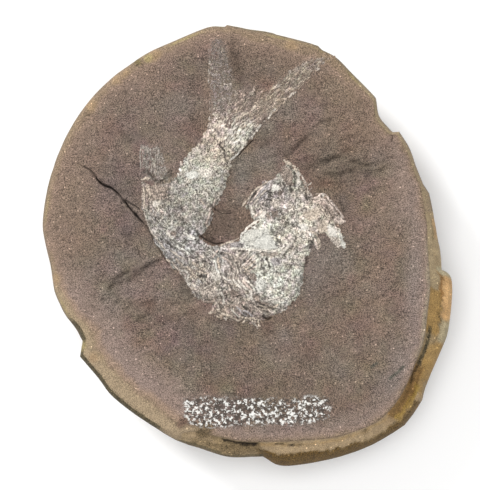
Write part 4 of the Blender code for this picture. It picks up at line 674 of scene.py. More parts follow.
def inside(points, polygon):
    """True for the points inside a closed polygon."""
    result = np.zeros(len(points), bool)
    low, high = polygon.min(axis=0), polygon.max(axis=0)
    close = np.flatnonzero(np.all((points > low) & (points < high), axis=1))
    x0, y0 = polygon[:, 0], polygon[:, 1]
    x1, y1 = np.roll(x0, -1), np.roll(y0, -1)
    rise = np.where(y1 == y0, 1.0, y1 - y0)
    for first in range(0, len(close), AT_ONCE):
        rows = close[first:first + AT_ONCE]
        x, y = points[rows, 0, None], points[rows, 1, None]
        straddles = (y0 > y) != (y1 > y)
        result[rows] = (straddles & (x < (x1 - x0) * (y - y0) / rise + x0)).sum(1) % 2 == 1
    return result


def depth_inside(points, polygon, reach=3.0):
    """Distance from the polygon's edge, positive inside it and negative outside, up to reach."""
    distance = near_line(points, np.vstack([polygon, polygon[:1]]), reach)[0]
    return np.clip(np.where(inside(points, polygon), distance, -distance), -reach, None)


def ease(value):
    """Smooth step from 0 to 1."""
    value = np.clip(value, 0.0, 1.0)
    return value * value * (3 - 2 * value)


def tapered(share, steepness, blunt=0.0):
    """1 along a line, falling off towards its ends; the larger `blunt` is, the less it falls."""
    return ease(np.minimum(share, 1 - share) * steepness + blunt)


def soft_spot(points, centre, radii):
    """1 at a centre, falling off smoothly over one radius or one for each direction."""
    return np.exp(-(((points - centre) / radii) ** 2).sum(1))


def hashed(cell, seed):
    """A repeatable value from -1 to 1 for each whole-number cell, mixed from its digits and the seed."""
    mixed = cell[..., 0] * 374761393 + cell[..., 1] * 668265263 + cell[..., 2] * 2147483647 + seed * 974711
    mixed = (mixed ^ (mixed >> 13)) & 0x7FFFFFFF
    mixed = (mixed * 1274126177) & 0x7FFFFFFF
    mixed = (mixed ^ (mixed >> 16)) & 0xFFFFF
    return mixed / 0x7FFFF - 1.0


def noise(points, size, seed):
    """Smooth noise from -1 to 1 at 3-D points, with bumps about `size` mm wide; each use has its seed."""
    place = points / size
    cell = np.floor(place).astype(np.int64)
    part = place - cell
    part = part * part * (3 - 2 * part)
    total = np.zeros(len(points))
    for corner in range(8):
        bit = np.array([corner & 1, corner >> 1 & 1, corner >> 2 & 1])
        weight = np.where(bit, part, 1 - part).prod(axis=1)
        total += weight * hashed(cell + bit, seed)
    return total


def at_height(points, height=0.0):
    """Plan points lifted to 3-D."""
    return np.column_stack([points, np.full(len(points), height)])


def bearings(points):
    """Angle of each point around the middle, from -180 to 180 degrees."""
    return np.degrees(np.arctan2(points[:, 1], points[:, 0]))


# ---- outlines by angle ------------------------------------------------------------------------------------
def radius_by_angle(line, angles):
    """Distance from the middle to a curve, at angles in degrees."""
    bearing = bearings(line)
    order = bearing.argsort()
    return np.interp(angles, bearing[order], np.linalg.norm(line, axis=1)[order], period=360)


def column_angles():
    """Evenly spread angles, with the nearest one moved onto each sharp corner of the outline."""
    angles = (np.arange(COLUMNS) + 0.5) * 360 / COLUMNS - 180
    for knot in OUTLINE:
        if len(knot) > 2:
            corner = math.degrees(math.atan2(knot[1], knot[0]))
            angles[np.abs(angles - corner).argmin()] = corner
    return np.sort(angles)


def ring(angles, radii):
    """Points at the given angles and radii."""
    turn = np.radians(angles)
    return np.column_stack([np.cos(turn) * radii, np.sin(turn) * radii])


OUTLINE_CURVE = spline(OUTLINE, True, CURVE_STEP)
EDGE_CURVE = spline(FACE_EDGE, False, CURVE_STEP)


def outline_radius(angles):
    """Distance from the middle to the widest line."""
    return radius_by_angle(OUTLINE_CURVE, angles)


def smooth_radius(angles):
    """The outline's radius with its corners and notches averaged away."""
    spans = np.linspace(-SMOOTHING, SMOOTHING, 9)
    return np.mean([outline_radius((angles + turn + 180) % 360 - 180) for turn in spans], axis=0)


def face_radius(angles):
    """Edge of the face: a narrow bevel inside the outline, or FACE_EDGE where the rind ledge is wide."""
    bearing = bearings(EDGE_CURVE)
    bevel = outline_radius(angles) - FACE_MARGIN
    ledge = radius_by_angle(EDGE_CURVE, angles)
    on_ledge = (angles >= bearing.min()) & (angles <= bearing.max())
    return np.where(on_ledge, np.minimum(ledge, bevel + FACE_MARGIN / 2), bevel)


def wide_ledge(angles):
    """True where the rind ledge is clearly wider than the bevel."""
    return (outline_radius(angles) - face_radius(angles)) > 2 * FACE_MARGIN


def rind_drop(angles, share):
    """Drop below the face at a share of the way from the face's edge to the widest line."""
    at = np.array(sorted(RIND_SECTIONS))
    table = np.array([RIND_SECTIONS[b] for b in at])
    columns = [np.interp(angles, at, table[:, k], period=360) for k in range(len(STATIONS))]
    return np.array([np.interp(share, STATIONS, drops) for drops in zip(*columns)])


# ---- height of the upper surface --------------------------------------------------------------------------
def ragged(points, polygon):
    """Depth inside a polygon whose edge is broken up finely."""
    flat = at_height(points)
    return depth_inside(points, np.array(polygon)) + 0.3 * noise(flat, 1.1, 51) + 0.16 * noise(flat, 0.45, 52)


def fish_relief(points):
    """Rise of the fish above the face, and how much of the surface the fish covers."""
    flat = at_height(points)
    body = np.maximum(ease(ragged(points, BODY) / RAMP), ease(ragged(points, GILL_COVER) / RAMP))
    smooth = np.zeros(len(points))
    for patch in PATCHES:
        smooth = np.maximum(smooth, ease(ragged(points, patch) / RAMP))
    lumps = noise(flat, 2.4, 5) + 0.6 * noise(flat, 1.2, 6)
    fin = np.zeros(len(points))
    for outline in (UPPER_LOBE, LOWER_LOBE, BACK_FIN):
        fin = np.maximum(fin, ease(ragged(points, outline) / RAMP))
    rise = body * (BODY_RELIEF + BODY_LUMPS * lumps) + PATCH_RELIEF * smooth
    return np.maximum(rise, FIN_RELIEF * fin), np.maximum(body, fin)


def crinkles(points):
    """Sharp wrinkles of the rough parts of the face."""
    change = np.zeros(len(points))
    for centre, radii, degrees, height in CRINKLED:
        offset = points - centre
        turn = math.radians(degrees)
        along = offset @ (math.cos(turn), math.sin(turn))
        beyond = offset @ (-math.sin(turn), math.cos(turn))
        wander = 0.5 * noise(at_height(points), 3.0, 66)
        waved = np.column_stack([along / CRINKLE_LENGTH, beyond / CRINKLE_WIDTH + wander, 0 * along])
        wrinkle = 1 - 2 * np.abs(noise(waved, 1.0, 67)) + 0.6 * noise(2.1 * waved, 1.0, 68)
        change += height * soft_spot(points, centre, radii) * wrinkle
    return change


def surface_lines(points):
    """What cracks, folds, hollow, valley and pits add to the height, and the painted shade of the cracks,
    crevices and pits.
    """
    change = np.zeros(len(points))
    # painted shade: darkening laid into the cracks, crevices and pits
    shade = np.zeros(len(points))
    wander = 0.12 * noise(at_height(points), 1.0, 61)
    for line, half_width, depth in CRACKS + HAIR_CRACKS:
        distance, share, _ = near_line(points, spline(line, False, CURVE_STEP), reach=2.5)
        beyond = np.abs(distance + wander) / half_width - 0.15
        groove = tapered(share, steepness=8, blunt=0.3) * (1 - ease(beyond))
        change -= depth * groove
        shade = np.maximum(shade, groove)
    for line, half_width, height in FOLDS:
        distance, share, _ = near_line(points, spline(line, False, FOLD_STEP), reach=8.0)
        change += height * tapered(share, steepness=4) * np.exp(-(distance / half_width) ** 2)
    loose = 0.5 * noise(at_height(points), 1.6, 62) + 0.3 * noise(at_height(points), 0.7, 63)
    for line, half_width, depth, dark in CREVICES:
        distance, share, side = near_line(points, spline(line, False, CREVICE_STEP), reach=4.0)
        across = (side * distance + half_width * loose) / half_width
        hollow = tapered(share, steepness=4, blunt=0.1) * np.exp(-across ** 2)
        change -= depth * hollow
        shade = np.maximum(shade, dark * hollow)
    rim = spline(HOLLOW_RIM, False, CURVE_STEP)
    distance, share, side = near_line(points, rim, reach=HOLLOW_REACH + 1)
    distance = np.abs(distance + wander)
    sunk = ease(distance / 0.4) * (1 - ease(distance / HOLLOW_REACH))
    change -= np.where(side < 0, HOLLOW_DEPTH * tapered(share, steepness=5) * sunk, 0.0)
    distance = near_line(points, spline(VALLEY, False, FOLD_STEP), reach=3 * VALLEY_RADIUS)[0]
    change -= VALLEY_DEPTH * np.exp(-(distance / VALLEY_RADIUS) ** 2)
    for centre, radius, depth in PITS:
        hole = 1 - ease(np.linalg.norm(points - centre, axis=1) / radius - 0.2)
        change -= depth * hole
        shade = np.maximum(shade, 0.9 * hole)
    return change, shade


def face_height(points):
    """Height of the split face with everything in it, and the painted shade of its cracks."""
    share = np.linalg.norm(points, axis=1) / face_radius(bearings(points))
    flat = at_height(points)
    rise, covered = fish_relief(points)
    change, shade = surface_lines(points)
    height = FACE_HEIGHT + FACE_SWELL * noise(flat, 24.0, 1) - RIM_FALL * share ** 6
    rough = 0.09 * noise(flat, 2.0, 2) + 0.06 * noise(flat, 1.1, 55) + 0.04 * noise(flat, 0.6, 56)
    height += (1 - covered) * (rough + crinkles(points))
    return height + change + rise, shade


def fish_depth(points):
    """Depth inside the fish's body or its gill cover."""
    return np.maximum(depth_inside(points, np.array(BODY)), depth_inside(points, np.array(GILL_COVER)))


def bed_depth(points):
    """How far the stone's own surface is kept below the fish's crust, well inside the fish."""
    return CRUST_BED * ease(fish_depth(points) / 0.8 - 0.5)


def rind_height(points, angles, share, edge_height):
    """Height of the rind between the face's edge and the widest line, and the painted shade of its cracks."""
    flat = at_height(points)
    rough = noise(flat, 3.0, 11) + 0.5 * noise(flat, 1.3, 12) + 0.3 * noise(flat, 0.6, 13)
    fade = np.sin(np.pi * min(share, 0.5))
    wide = wide_ledge(angles)
    change, shade = surface_lines(points)
    cracked = np.where(wide, np.minimum(change, 0.0), 0.0)
    scale = np.where(wide, RIND_GRAIN, 0.3 * RIND_GRAIN)
    return edge_height - rind_drop(angles, share) + scale * fade * rough + cracked, shade * wide


# ---- stone mesh -------------------------------------------------------------------------------------------
def beside(line, offset):
    """The line moved sideways, to its left for a positive offset."""
    along = np.gradient(line, axis=0)
    along /= np.linalg.norm(along, axis=1)[:, None]
    return line + offset * np.column_stack([-along[:, 1], along[:, 0]])


def feature_lines():
    """Lines that mesh edges follow: cracks with both their shoulders, and the step of the hollow."""
    lines = []
    for line, half_width, _ in CRACKS + HAIR_CRACKS:
        middle = spline(line, False, LINE_SPACING)
        lines += [middle, beside(middle, half_width * 1.2), beside(middle, -half_width * 1.2)]
    rim = spline(HOLLOW_RIM, False, LINE_SPACING)
    lines += [rim, beside(rim, -0.4)]
    return lines


def spread(spacing, seed):
    """Loosely hexagonal points over the stone's plan."""
    rng = np.random.default_rng(seed)
    row_spacing = spacing * math.sqrt(0.75)
    rows = int(2 * PLAN_REACH / row_spacing)
    cols = int(2 * PLAN_REACH / spacing)
    row, col = np.mgrid[0:rows, 0:cols]
    grid = np.column_stack([
        ((col + 0.5 * (row % 2)) * spacing - PLAN_REACH).ravel(),
        (row * spacing * math.sqrt(0.75) - PLAN_REACH).ravel(),
    ])
    return grid + rng.uniform(-0.25, 0.25, grid.shape) * spacing


def clear_of(points, others, gap):
    """The points that lie at least `gap` from all the others."""
    tree = KDTree(len(others))
    for i, other in enumerate(others):
        tree.insert((other[0], other[1], 0.0), i)
    tree.balance()
    keep = [tree.find((x, y, 0.0))[2] >= gap for x, y in points]
    return points[np.array(keep, bool)]


def fish_zone(points, margin):
    """True within a margin of the fish."""
    zone = np.zeros(len(points), bool)
    for outline in (BODY, GILL_COVER, UPPER_LOBE, LOWER_LOBE, TAIL_WEB, BACK_FIN):
        zone |= depth_inside(points, np.array(outline)) > -margin
    return zone


def face_mesh(edge):
    """Plan points and triangles of the face inside its edge ring; the ring's points come first."""
    lines = []
    for line in feature_lines():
        kept = line[np.linalg.norm(line, axis=1) < face_radius(bearings(line)) - EDGE_GAP]
        if len(kept) > 1:
            lines.append(kept)
    held = np.vstack([edge, *lines])
    fine = spread(FISH_SPACING, 21)
    fine = fine[fish_zone(fine, margin=0.4)]
    fine = clear_of(fine, held, 0.5 * FISH_SPACING)
    plain = spread(FACE_SPACING, 22)
    plain = plain[np.linalg.norm(plain, axis=1) < face_radius(bearings(plain)) - EDGE_GAP]
    plain = plain[~fish_zone(plain, margin=0.3)]
    plain = clear_of(plain, held, 0.45 * FACE_SPACING)
    edges = [(i, (i + 1) % len(edge)) for i in range(len(edge))]
    total = len(edge)
    for line in lines:
        edges += [(total + i, total + i + 1) for i in range(len(line) - 1)]
        total += len(line)
    flat = [Vector(point) for point in np.vstack([edge, *lines, fine, plain])]
    coords, _, faces, sources, _, _ = delaunay_2d_cdt(flat, edges, [], INSIDE_ONLY, WELD, True)
    first = {source: new for new, group in enumerate(sources) for source in group}
    order = [first[i] for i in range(len(edge))]
    taken = set(order)
    order += [i for i in range(len(coords)) if i not in taken]
    place = np.empty(len(coords), int)
    place[order] = np.arange(len(coords))
    plan = np.array([coords[i][:] for i in order])
    faces = place[np.array([face[:] for face in faces])]
    return plan, faces[inside(plan[faces].mean(axis=1), edge)]


def back_ring(angles, level, rim, rim_height):
    """One ring of the back; level 0 is the widest line and level 1 the edge of the resting facet."""
    centre = np.array(FACET_CENTRE)
    facet_edge = centre + ring(angles, FACET_RADIUS * (1 + 0.06 * np.sin(np.radians(3 * angles + 40))))
    if level == 1:
        return at_height(facet_edge)
    turn = level * math.pi / 2
    even = rim + (ring(angles, smooth_radius(angles)) - rim) * min(1.0, 3.0 * level)
    plan = facet_edge + (even - facet_edge) * math.cos(turn) ** 0.8
    height = rim_height * (1 - math.sin(turn)) ** 0.9
    spot = np.column_stack([plan, height])
    bumps = BACK_SWELL * noise(spot, 13.0, 31) + BACK_GRAIN * noise(spot, 5.0, 32)
    fine = 0.16 * noise(spot, 2.2, 34) + 0.09 * noise(spot, 1.0, 35)
    peeled = PEEL_STEP * ease((noise(spot, 22.0, 33) + 0.1) * 6)
    inward = (bumps + fine - peeled) * math.sin(math.pi * level) ** 0.5
    plan = plan + (plan - centre) / np.linalg.norm(plan - centre, axis=1)[:, None] * inward[:, None]
    return np.column_stack([plan, np.maximum(height - 0.4 * inward, FACET_CLEARANCE * (1 - level) + 0.02)])


def strip(lower, upper, count):
    """Triangles between two rings that start at the given vertex numbers."""
    i = np.arange(count)
    j = (i + 1) % count
    return np.vstack([
        np.column_stack([lower + i, lower + j, upper + j]),
        np.column_stack([lower + i, upper + j, upper + i]),
    ])


def stone_shape():
    """Vertices in mm, triangles, and per vertex: the painted shade of cracks there and its share of the way
    down.

    The share is 0 on the face, 1 on the widest line and 2 in the middle of the back.
    """
    angles = column_angles()
    outer = ring(angles, outline_radius(angles))
    inner = ring(angles, face_radius(angles))
    plan, faces = face_mesh(inner)
    heights, shade = face_height(plan)
    layers = [np.column_stack([plan, heights - bed_depth(plan)])]
    faces = [faces]
    share = [np.zeros(len(plan))]
    crack_shade = [shade]
    previous = 0
    total = len(plan)
    for part in RIND_SHARES:
        spot = inner + (outer - inner) * part
        height, shade = rind_height(spot, angles, part, heights[:COLUMNS])
        layers.append(np.column_stack([spot, height]))
        share.append(np.full(COLUMNS, part))
        crack_shade.append(shade)
        faces.append(strip(total, previous, COLUMNS))
        previous = total
        total += COLUMNS
    rim_height = layers[-1][:, 2]
    for k in range(1, BACK_RINGS + 1):
        layers.append(back_ring(angles, k / BACK_RINGS, outer, rim_height))
        share.append(np.full(COLUMNS, 1 + k / BACK_RINGS))
        crack_shade.append(np.zeros(COLUMNS))
        faces.append(strip(total, previous, COLUMNS))
        previous = total
        total += COLUMNS
    layers.append(np.array([[*FACET_CENTRE, 0.0]]))
    share.append(np.array([2.0]))
    crack_shade.append(np.zeros(1))
    i = np.arange(COLUMNS)
    faces.append(np.column_stack([previous + (i + 1) % COLUMNS, previous + i, np.full(COLUMNS, total)]))
    vertices = np.clip(np.vstack(layers), np.array(CAD_BOX[0]) / MM, np.array(CAD_BOX[1]) / MM)
    return vertices, np.vstack(faces), np.concatenate(crack_shade), np.concatenate(share)


# ---- colours, as lit: linear red, green, blue -------------------------------------------------------------
LIGHT_GAIN = 1.5   # how much brighter than its own colour a level matt surface looks under the lights
GREY = (0.216, 0.158, 0.123)
WARM_GREY = (0.205, 0.146, 0.108)
COOL_GREY = (0.228, 0.194, 0.168)
# brown of the hollows, deepened with painted shade
HOLLOW_BROWN_SHADE = (0.158, 0.112, 0.086)
DARK_GREY = (0.138, 0.098, 0.074)
MAUVE = (0.345, 0.256, 0.216)
DUSK = (0.165, 0.128, 0.115)
RED_BROWN = (0.175, 0.108, 0.078)
RUSSET = (0.190, 0.130, 0.096)
MOSS_GREY = (0.195, 0.172, 0.146)
# dark green, also used as painted shade beside raised parts
GREEN_DARK_AND_SHADE = (0.150, 0.130, 0.100)
LILAC_GREY = (0.240, 0.198, 0.172)
LILAC_PALE = (0.300, 0.236, 0.206)
EDGE_GREEN = (0.400, 0.330, 0.235)
RED_TAN = (0.280, 0.198, 0.148)
WARM_TAN = (0.262, 0.185, 0.125)
PAINT_WHITE = (0.76, 0.75, 0.71)
PAINT_DARK = (0.055, 0.044, 0.037)
PINK_TAN = (0.360, 0.252, 0.188)
TAN = (0.315, 0.228, 0.150)
# painted shade of the flank at the lower left and bottom, turned away from the light
EDGE_SHADE = (0.075, 0.062, 0.030)
ORANGE_TAN = (0.430, 0.300, 0.208)
BAND_TAN = (0.440, 0.335, 0.215)
OLIVE_TAN = (0.440, 0.320, 0.175)
OLIVE = (0.190, 0.150, 0.060)
YELLOW_EDGE = (0.420, 0.335, 0.160)
STAIN = (0.420, 0.290, 0.170)
# brown of the lower flank, deepened with painted shade where it turns away from the light
FLANK_BROWN_AND_SHADE = (0.172, 0.100, 0.028)
ORANGE = (0.720, 0.450, 0.210)
PALE_CAP = (0.560, 0.480, 0.310)
PALE_TAN = (0.570, 0.450, 0.280)
OCHRE = (0.500, 0.315, 0.115)
MUSTARD = (0.460, 0.305, 0.080)
RUST = (0.440, 0.220, 0.065)
RECESS_BROWN = (0.35, 0.205, 0.075)
LEDGE_TAN = (0.560, 0.410, 0.250)
# painted shadow in the gap beside the face's edge
OLIVE_GAP_SHADE = (0.075, 0.065, 0.038)
# painted shade inside cracks, crevices and the rind's dark crevice lines
CRACK_SHADE = (0.018, 0.013, 0.010)
SCRAPE_GREEN = (0.095, 0.100, 0.078)
BACK_TAN = (0.300, 0.215, 0.115)
BACK_BROWN = (0.150, 0.105, 0.055)
GAP_BROWN = (0.150, 0.125, 0.100)
# painted shade in the openings between the bones
SLOT_SHADE = (0.040, 0.032, 0.026)

# Stretches of the rim that are coloured apart: first and last bearing, and how softly they end.
RIGHT_FACE = (-100, 40, 20)
LEFT_FACE = (-172, -100, 15)
# where the face's edge gets painted shade
SHADED_FACE_EDGE = (-152, -116, 3)
GREEN_FACE_EDGE = (-33, 2, 5)
# where the bevel gets painted shade
SHADED_BEVEL = (-158, -115, 5)
TOP_BEVEL = (60, 97, 3)
YELLOW_BEVEL = (14, 60, 6)
TAN_BEVEL = (6, 56, 5)

# Width in mm of the tan weathered border inside the bevel, by bearing.
TAN_WIDTHS = {
    -172: 0.3, -160: 0.7, -154: 1.6, -148: 3.0, -134: 3.6, -120: 3.6, -112: 3.0, -105: 1.5, -100: 0.3,
    -60: 0.4, -30: 0.2, 0: 0.2, 20: 0.3, 45: 0.3, 56: 0.5, 66: 1.2, 76: 1.7, 88: 1.3, 95: 0.3, 108: 0.6,
    118: 0.7, 124: 0.4, 131: 0.5, 138: 0.9, 146: 0.6, 156: 0.3, 168: 0.1, 180: 0.1,
}
EDGE_SPOTS = [   # centre, radius and colour of stains near the rim
    ((-35.4, 31.6), 1.7, STAIN), ((-29.6, 37.4), 1.3, STAIN), ((-27.6, 38.9), 1.2, STAIN),
    ((-20.8, 43.2), 1.5, STAIN), ((-22.4, 42.4), 1.1, YELLOW_EDGE), ((10.0, 45.6), 1.6, STAIN),
    ((-37.3, -22.6), 1.2, YELLOW_EDGE), ((-34.2, -25.4), 1.5, STAIN), ((-43.4, -7.4), 1.6, STAIN),
    ((-44.2, 0.0), 1.8, PINK_TAN), ((-24.6, 41.6), 1.2, OLIVE), ((-9.5, -41.4), 2.4, BACK_BROWN),
    ((-14.6, -39.8), 1.4, RED_BROWN),
]
RUSTY_SPOT, RUSTY_RADII = (-12.6, -39.6), (1.8, 1.0)     # stain over the rubbed band's left end
FACE_AREAS = [   # centre, radii across and up, colour and strength of broad areas of the face; some dark spots are painted shade
    ((22.1, 17.6), (9.5, 4.5), DARK_GREY, 0.45), ((9.7, 22.1), (5.9, 4.0), DARK_GREY, 0.4),
    # brown of the hollow inside the fish's bend, deepened with painted shade
    ((-4.7, 5.0), (5.9, 3.8), HOLLOW_BROWN_SHADE, 0.95), ((-0.7, 7.2), (2.5, 2.0), RUSSET, 0.75),
    ((-0.9, 15.8), (2.5, 5.0), MOSS_GREY, 0.85), ((3.4, 19.4), (3.6, 2.0), MOSS_GREY, 0.5),
    ((-29.5, 14.4), (5.9, 5.9), DUSK, 0.6), ((-25.0, 8.1), (4.0, 5.0), DUSK, 0.6),
    # the dark green spot here is painted shadow beside the fish's lower left edge
    ((-22.9, -9.9), (9.5, 5.4), LILAC_GREY, 0.4), ((-13.7, -10.3), (2.0, 3.1), GREEN_DARK_AND_SHADE, 0.6),
    ((-22.3, -13.1), (2.2, 1.4), RED_BROWN, 0.75), ((-13.3, -14.2), (5.9, 1.4), RED_TAN, 0.55),
    ((-26.8, -2.2), (5.4, 2.7), COOL_GREY, 0.45), ((-4.3, -18.9), (6.8, 3.4), GREEN_DARK_AND_SHADE, 0.35),
    ((4.7, -18.4), (1.4, 2.9), RED_BROWN, 0.6), ((8.3, -20.0), (1.8, 2.0), LILAC_GREY, 0.8),
    ((23.2, 34.6), (8.1, 5.4), WARM_TAN, 0.5), ((28.1, 30.2), (3.6, 5.0), RED_TAN, 0.5),
    # the dark green spot here is painted shadow below the tail's lower lobe
    ((3.4, 25.7), (2.0, 2.0), GREEN_DARK_AND_SHADE, 0.6), ((11.9, 31.1), (5.9, 3.6), LILAC_GREY, 0.35),
    ((34.9, 10.3), (3.1, 7.7), MAUVE, 0.5), ((35.1, 12.6), (2.2, 4.5), PINK_TAN, 0.2),
    ((-19.6, -35.8), (5.4, 3.1), PINK_TAN, 0.35), ((24.3, 25.7), (8.1, 5.0), WARM_TAN, 0.4),
    ((29.5, 26.6), (4.5, 4.0), RED_TAN, 0.35), ((17.8, 13.7), (3.1, 1.8), RED_BROWN, 0.85),
    # the dark green spot here is painted shadow beside the gill cover
    ((21.6, 8.6), (1.6, 3.1), GREEN_DARK_AND_SHADE, 0.6), ((15.5, -5.0), (3.4, 7.7), LILAC_GREY, 0.85),
    ((16.0, -12.2), (4.0, 4.5), DARK_GREY, 0.4), ((20.5, -2.7), (2.7, 3.1), MOSS_GREY, 0.5),
    ((31.7, 9.0), (5.9, 8.6), PINK_TAN, 0.25), ((25.4, -18.9), (9.0, 10.3), RED_TAN, 0.3),
    ((7.0, 41.0), (7.7, 4.0), WARM_GREY, 0.55), ((3.4, 36.0), (6.8, 4.0), RED_BROWN, 0.25),
    # the dark brown spot here is painted shadow right of the tail's upper lobe
    ((-2.5, 41.4), (1.6, 7.2), HOLLOW_BROWN_SHADE, 0.6), ((-12.8, 36.0), (5.4, 6.8), DARK_GREY, 0.35),
    ((-15.5, 31.9), (4.5, 2.9), LILAC_GREY, 0.6), ((-21.4, 34.6), (1.8, 1.8), RED_TAN, 0.4),
    ((-26.3, 24.5), (2.7, 1.6), GREEN_DARK_AND_SHADE, 0.4), ((-12.8, 26.1), (3.4, 2.2), RED_BROWN, 0.35),
    ((-17.8, 21.6), (2.5, 4.5), COOL_GREY, 0.25), ((-39.8, 8.1), (5.4, 13.5), RED_TAN, 0.6),
    ((-37.6, 21.6), (5.4, 9.5), RED_TAN, 0.45), ((-21.8, 30.2), (8.1, 5.9), LILAC_GREY, 0.3),
    ((28.1, -5.4), (5.9, 12.6), RED_TAN, 0.3), ((-24.1, 37.8), (9.5, 4.0), RED_TAN, 0.4),
    ((-21.8, -31.1), (6.8, 5.4), MAUVE, 0.55), ((-34.9, -16.7), (5.0, 8.1), RED_TAN, 0.4),
    ((7.4, -27.0), (13.5, 6.8), WARM_GREY, 0.3), ((-9.5, -23.4), (8.1, 5.9), GREEN_DARK_AND_SHADE, 0.2),
    ((14.2, 43.6), (6.8, 2.5), PINK_TAN, 0.35), ((0.7, 45.9), (8.1, 2.2), RED_TAN, 0.5),
    ((33.3, -31.3), (3.6, 3.1), LILAC_GREY, 0.6), ((37.6, -12.2), (2.0, 16.2), LILAC_PALE, 0.75),
    ((34.4, -26.8), (2.7, 5.9), LILAC_PALE, 0.6), ((20.5, -28.4), (4.5, 2.7), MOSS_GREY, 0.25),
    ((5.2, 30.6), (3.1, 1.8), LILAC_GREY, 0.3), ((-5.0, 33.3), (3.1, 2.7), RED_TAN, 0.3),
    ((-31.3, -12.2), (3.6, 4.0), MOSS_GREY, 0.25),
]
RIND_PAINT = [   # angles, shares, colour and strength of the rind ledge's bands, painted in this order; the gap, crack, flank and outer edge bands carry painted shade
    ((-112, 27), (0.0, 1.0), OLIVE_TAN, 1.0),
    ((-13.4, 27), (0.0, 0.45), PALE_TAN, 0.65),
    ((-7, 27), (0.45, 1.0), PALE_TAN, 0.45),
    ((2, 8), (0.52, 0.62), OLIVE, 0.5),
    ((3, 9), (0.66, 1.0), ORANGE, 0.6),
    ((-26, -13.4), (0.0, 0.58), OCHRE, 0.95),
    ((-15, -8.5), (0.48, 0.62), RUST, 0.8),
    ((-23, -15), (0.52, 0.64), BACK_BROWN, 0.55),
    ((-20, -9.2), (0.62, 1.0), ORANGE, 1.0),
    ((-27, -20), (0.62, 1.0), PALE_CAP, 0.8),
    ((-37, -27.5), (0.32, 1.0), OCHRE, 0.8),
    ((-9.2, -6.6), (0.55, 1.0), PALE_CAP, 1.0),
    ((-44, -32), (0.35, 0.9), OCHRE, 0.75),
    ((-52, -34), (0.0, 0.52), RECESS_BROWN, 0.95),
    ((-50, -39), (0.42, 0.70), MUSTARD, 0.85),
    ((-50, -40), (0.70, 1.0), LEDGE_TAN, 0.75),
    # painted shadow in the gap beside the face's edge at the lower right, and in the crack line below it
    ((-34, -24), (0.12, 0.29), OLIVE_GAP_SHADE, 0.9),
    ((-40, -33), (0.08, 0.17), CRACK_SHADE, 0.75),
    ((-86, -50), (0.0, 0.55), LEDGE_TAN, 0.75),
    ((-86, -50), (0.10, 0.22), OCHRE, 0.4),
    # painted shade on the lower flank, which faces away from the light
    ((-87, -70), (0.48, 1.0), FLANK_BROWN_AND_SHADE, 0.95),
    ((-71, -60), (0.54, 1.0), FLANK_BROWN_AND_SHADE, 0.95),
    ((-61, -50), (0.62, 1.0), FLANK_BROWN_AND_SHADE, 0.9),
    ((-51, -42), (0.70, 1.0), FLANK_BROWN_AND_SHADE, 0.85),
    ((-50, -42), (0.50, 0.70), OCHRE, 0.45),
    # painted shade in the crevice under the bottom ledge
    ((-97, -86.5), (0.03, 0.17), CRACK_SHADE, 0.95),
    ((-92, -86.5), (0.08, 0.34), CRACK_SHADE, 0.85),
    ((-98, -85.5), (0.16, 0.34), BACK_BROWN, 0.3),
    ((-101, -85.5), (0.34, 0.74), BACK_BROWN, 0.55),
    ((-114, -105), (0.0, 0.85), BAND_TAN, 0.45),
    ((-107, -100), (0.0, 0.45), LEDGE_TAN, 0.6),
    # painted shade on the outermost rind at the bottom
    ((-112, -85.5), (0.80, 1.0), EDGE_SHADE, 0.7),
]
BONE_BASE, BONE_BASE_WEIGHT = (0.40, 0.37, 0.32), 0.04   # mineral far from every spot below
BONE_TINTS = [   # centre, radius and colour of the fish's mineral where it changes
    ((-10.5, 16.3), 3.6, (0.57, 0.555, 0.47)), ((-7.6, 21.4), 3.4, (0.555, 0.465, 0.38)),
    ((-1.6, 25.2), 2.6, (0.70, 0.65, 0.56)), ((-7.0, 26.8), 2.0, (0.58, 0.48, 0.41)),
    ((-9.5, 12.0), 4.0, (0.44, 0.40, 0.34)), ((-17.0, 7.0), 5.0, (0.34, 0.31, 0.27)),
    ((-21.5, 12.0), 3.0, (0.35, 0.28, 0.23)), ((-16.0, -0.5), 4.0, (0.35, 0.33, 0.32)),
    ((-12.0, 1.8), 1.6, (0.54, 0.51, 0.49)), ((-11.5, -6.0), 4.0, (0.39, 0.33, 0.28)),
    ((-8.5, -9.5), 3.0, (0.37, 0.33, 0.29)), ((-6.5, -3.6), 2.4, (0.45, 0.42, 0.39)),
    ((-1.5, -5.0), 3.6, (0.36, 0.30, 0.26)), ((4.5, -8.0), 3.6, (0.66, 0.65, 0.57)),
    ((9.0, -6.0), 4.0, (0.48, 0.45, 0.39)), ((3.0, 2.0), 3.0, (0.68, 0.65, 0.57)),
    ((11.0, 1.5), 4.0, (0.56, 0.50, 0.43)), ((6.0, 11.5), 3.6, (0.315, 0.272, 0.252)),
    ((10.6, 15.5), 2.6, (0.45, 0.42, 0.345)), ((12.5, 8.0), 3.0, (0.57, 0.51, 0.44)),
    ((17.5, 10.0), 2.6, (0.53, 0.43, 0.36)), ((20.2, 2.4), 2.0, (0.70, 0.64, 0.53)),
    ((17.6, 5.6), 1.6, (0.47, 0.41, 0.34)), ((1.0, -14.0), 4.0, (0.312, 0.25, 0.214)),
    ((-5.5, -15.0), 3.0, (0.325, 0.255, 0.208)), ((-6.8, 36.0), 4.5, (0.178, 0.148, 0.129)),
    ((-6.8, 44.0), 4.0, (0.128, 0.105, 0.089)), ((6.0, 32.0), 4.0, (0.295, 0.23, 0.175)),
    ((12.5, 37.5), 4.5, (0.215, 0.178, 0.138)), ((16.0, 42.5), 3.0, (0.225, 0.182, 0.145)),
    ((-20.0, 18.5), 4.0, (0.222, 0.195, 0.17)), ((-1.0, 31.5), 3.4, (0.30, 0.232, 0.19)),
    ((0.5, 34.6), 2.6, (0.25, 0.193, 0.158)), ((7.2, 13.8), 0.9, (0.45, 0.43, 0.37)),
]


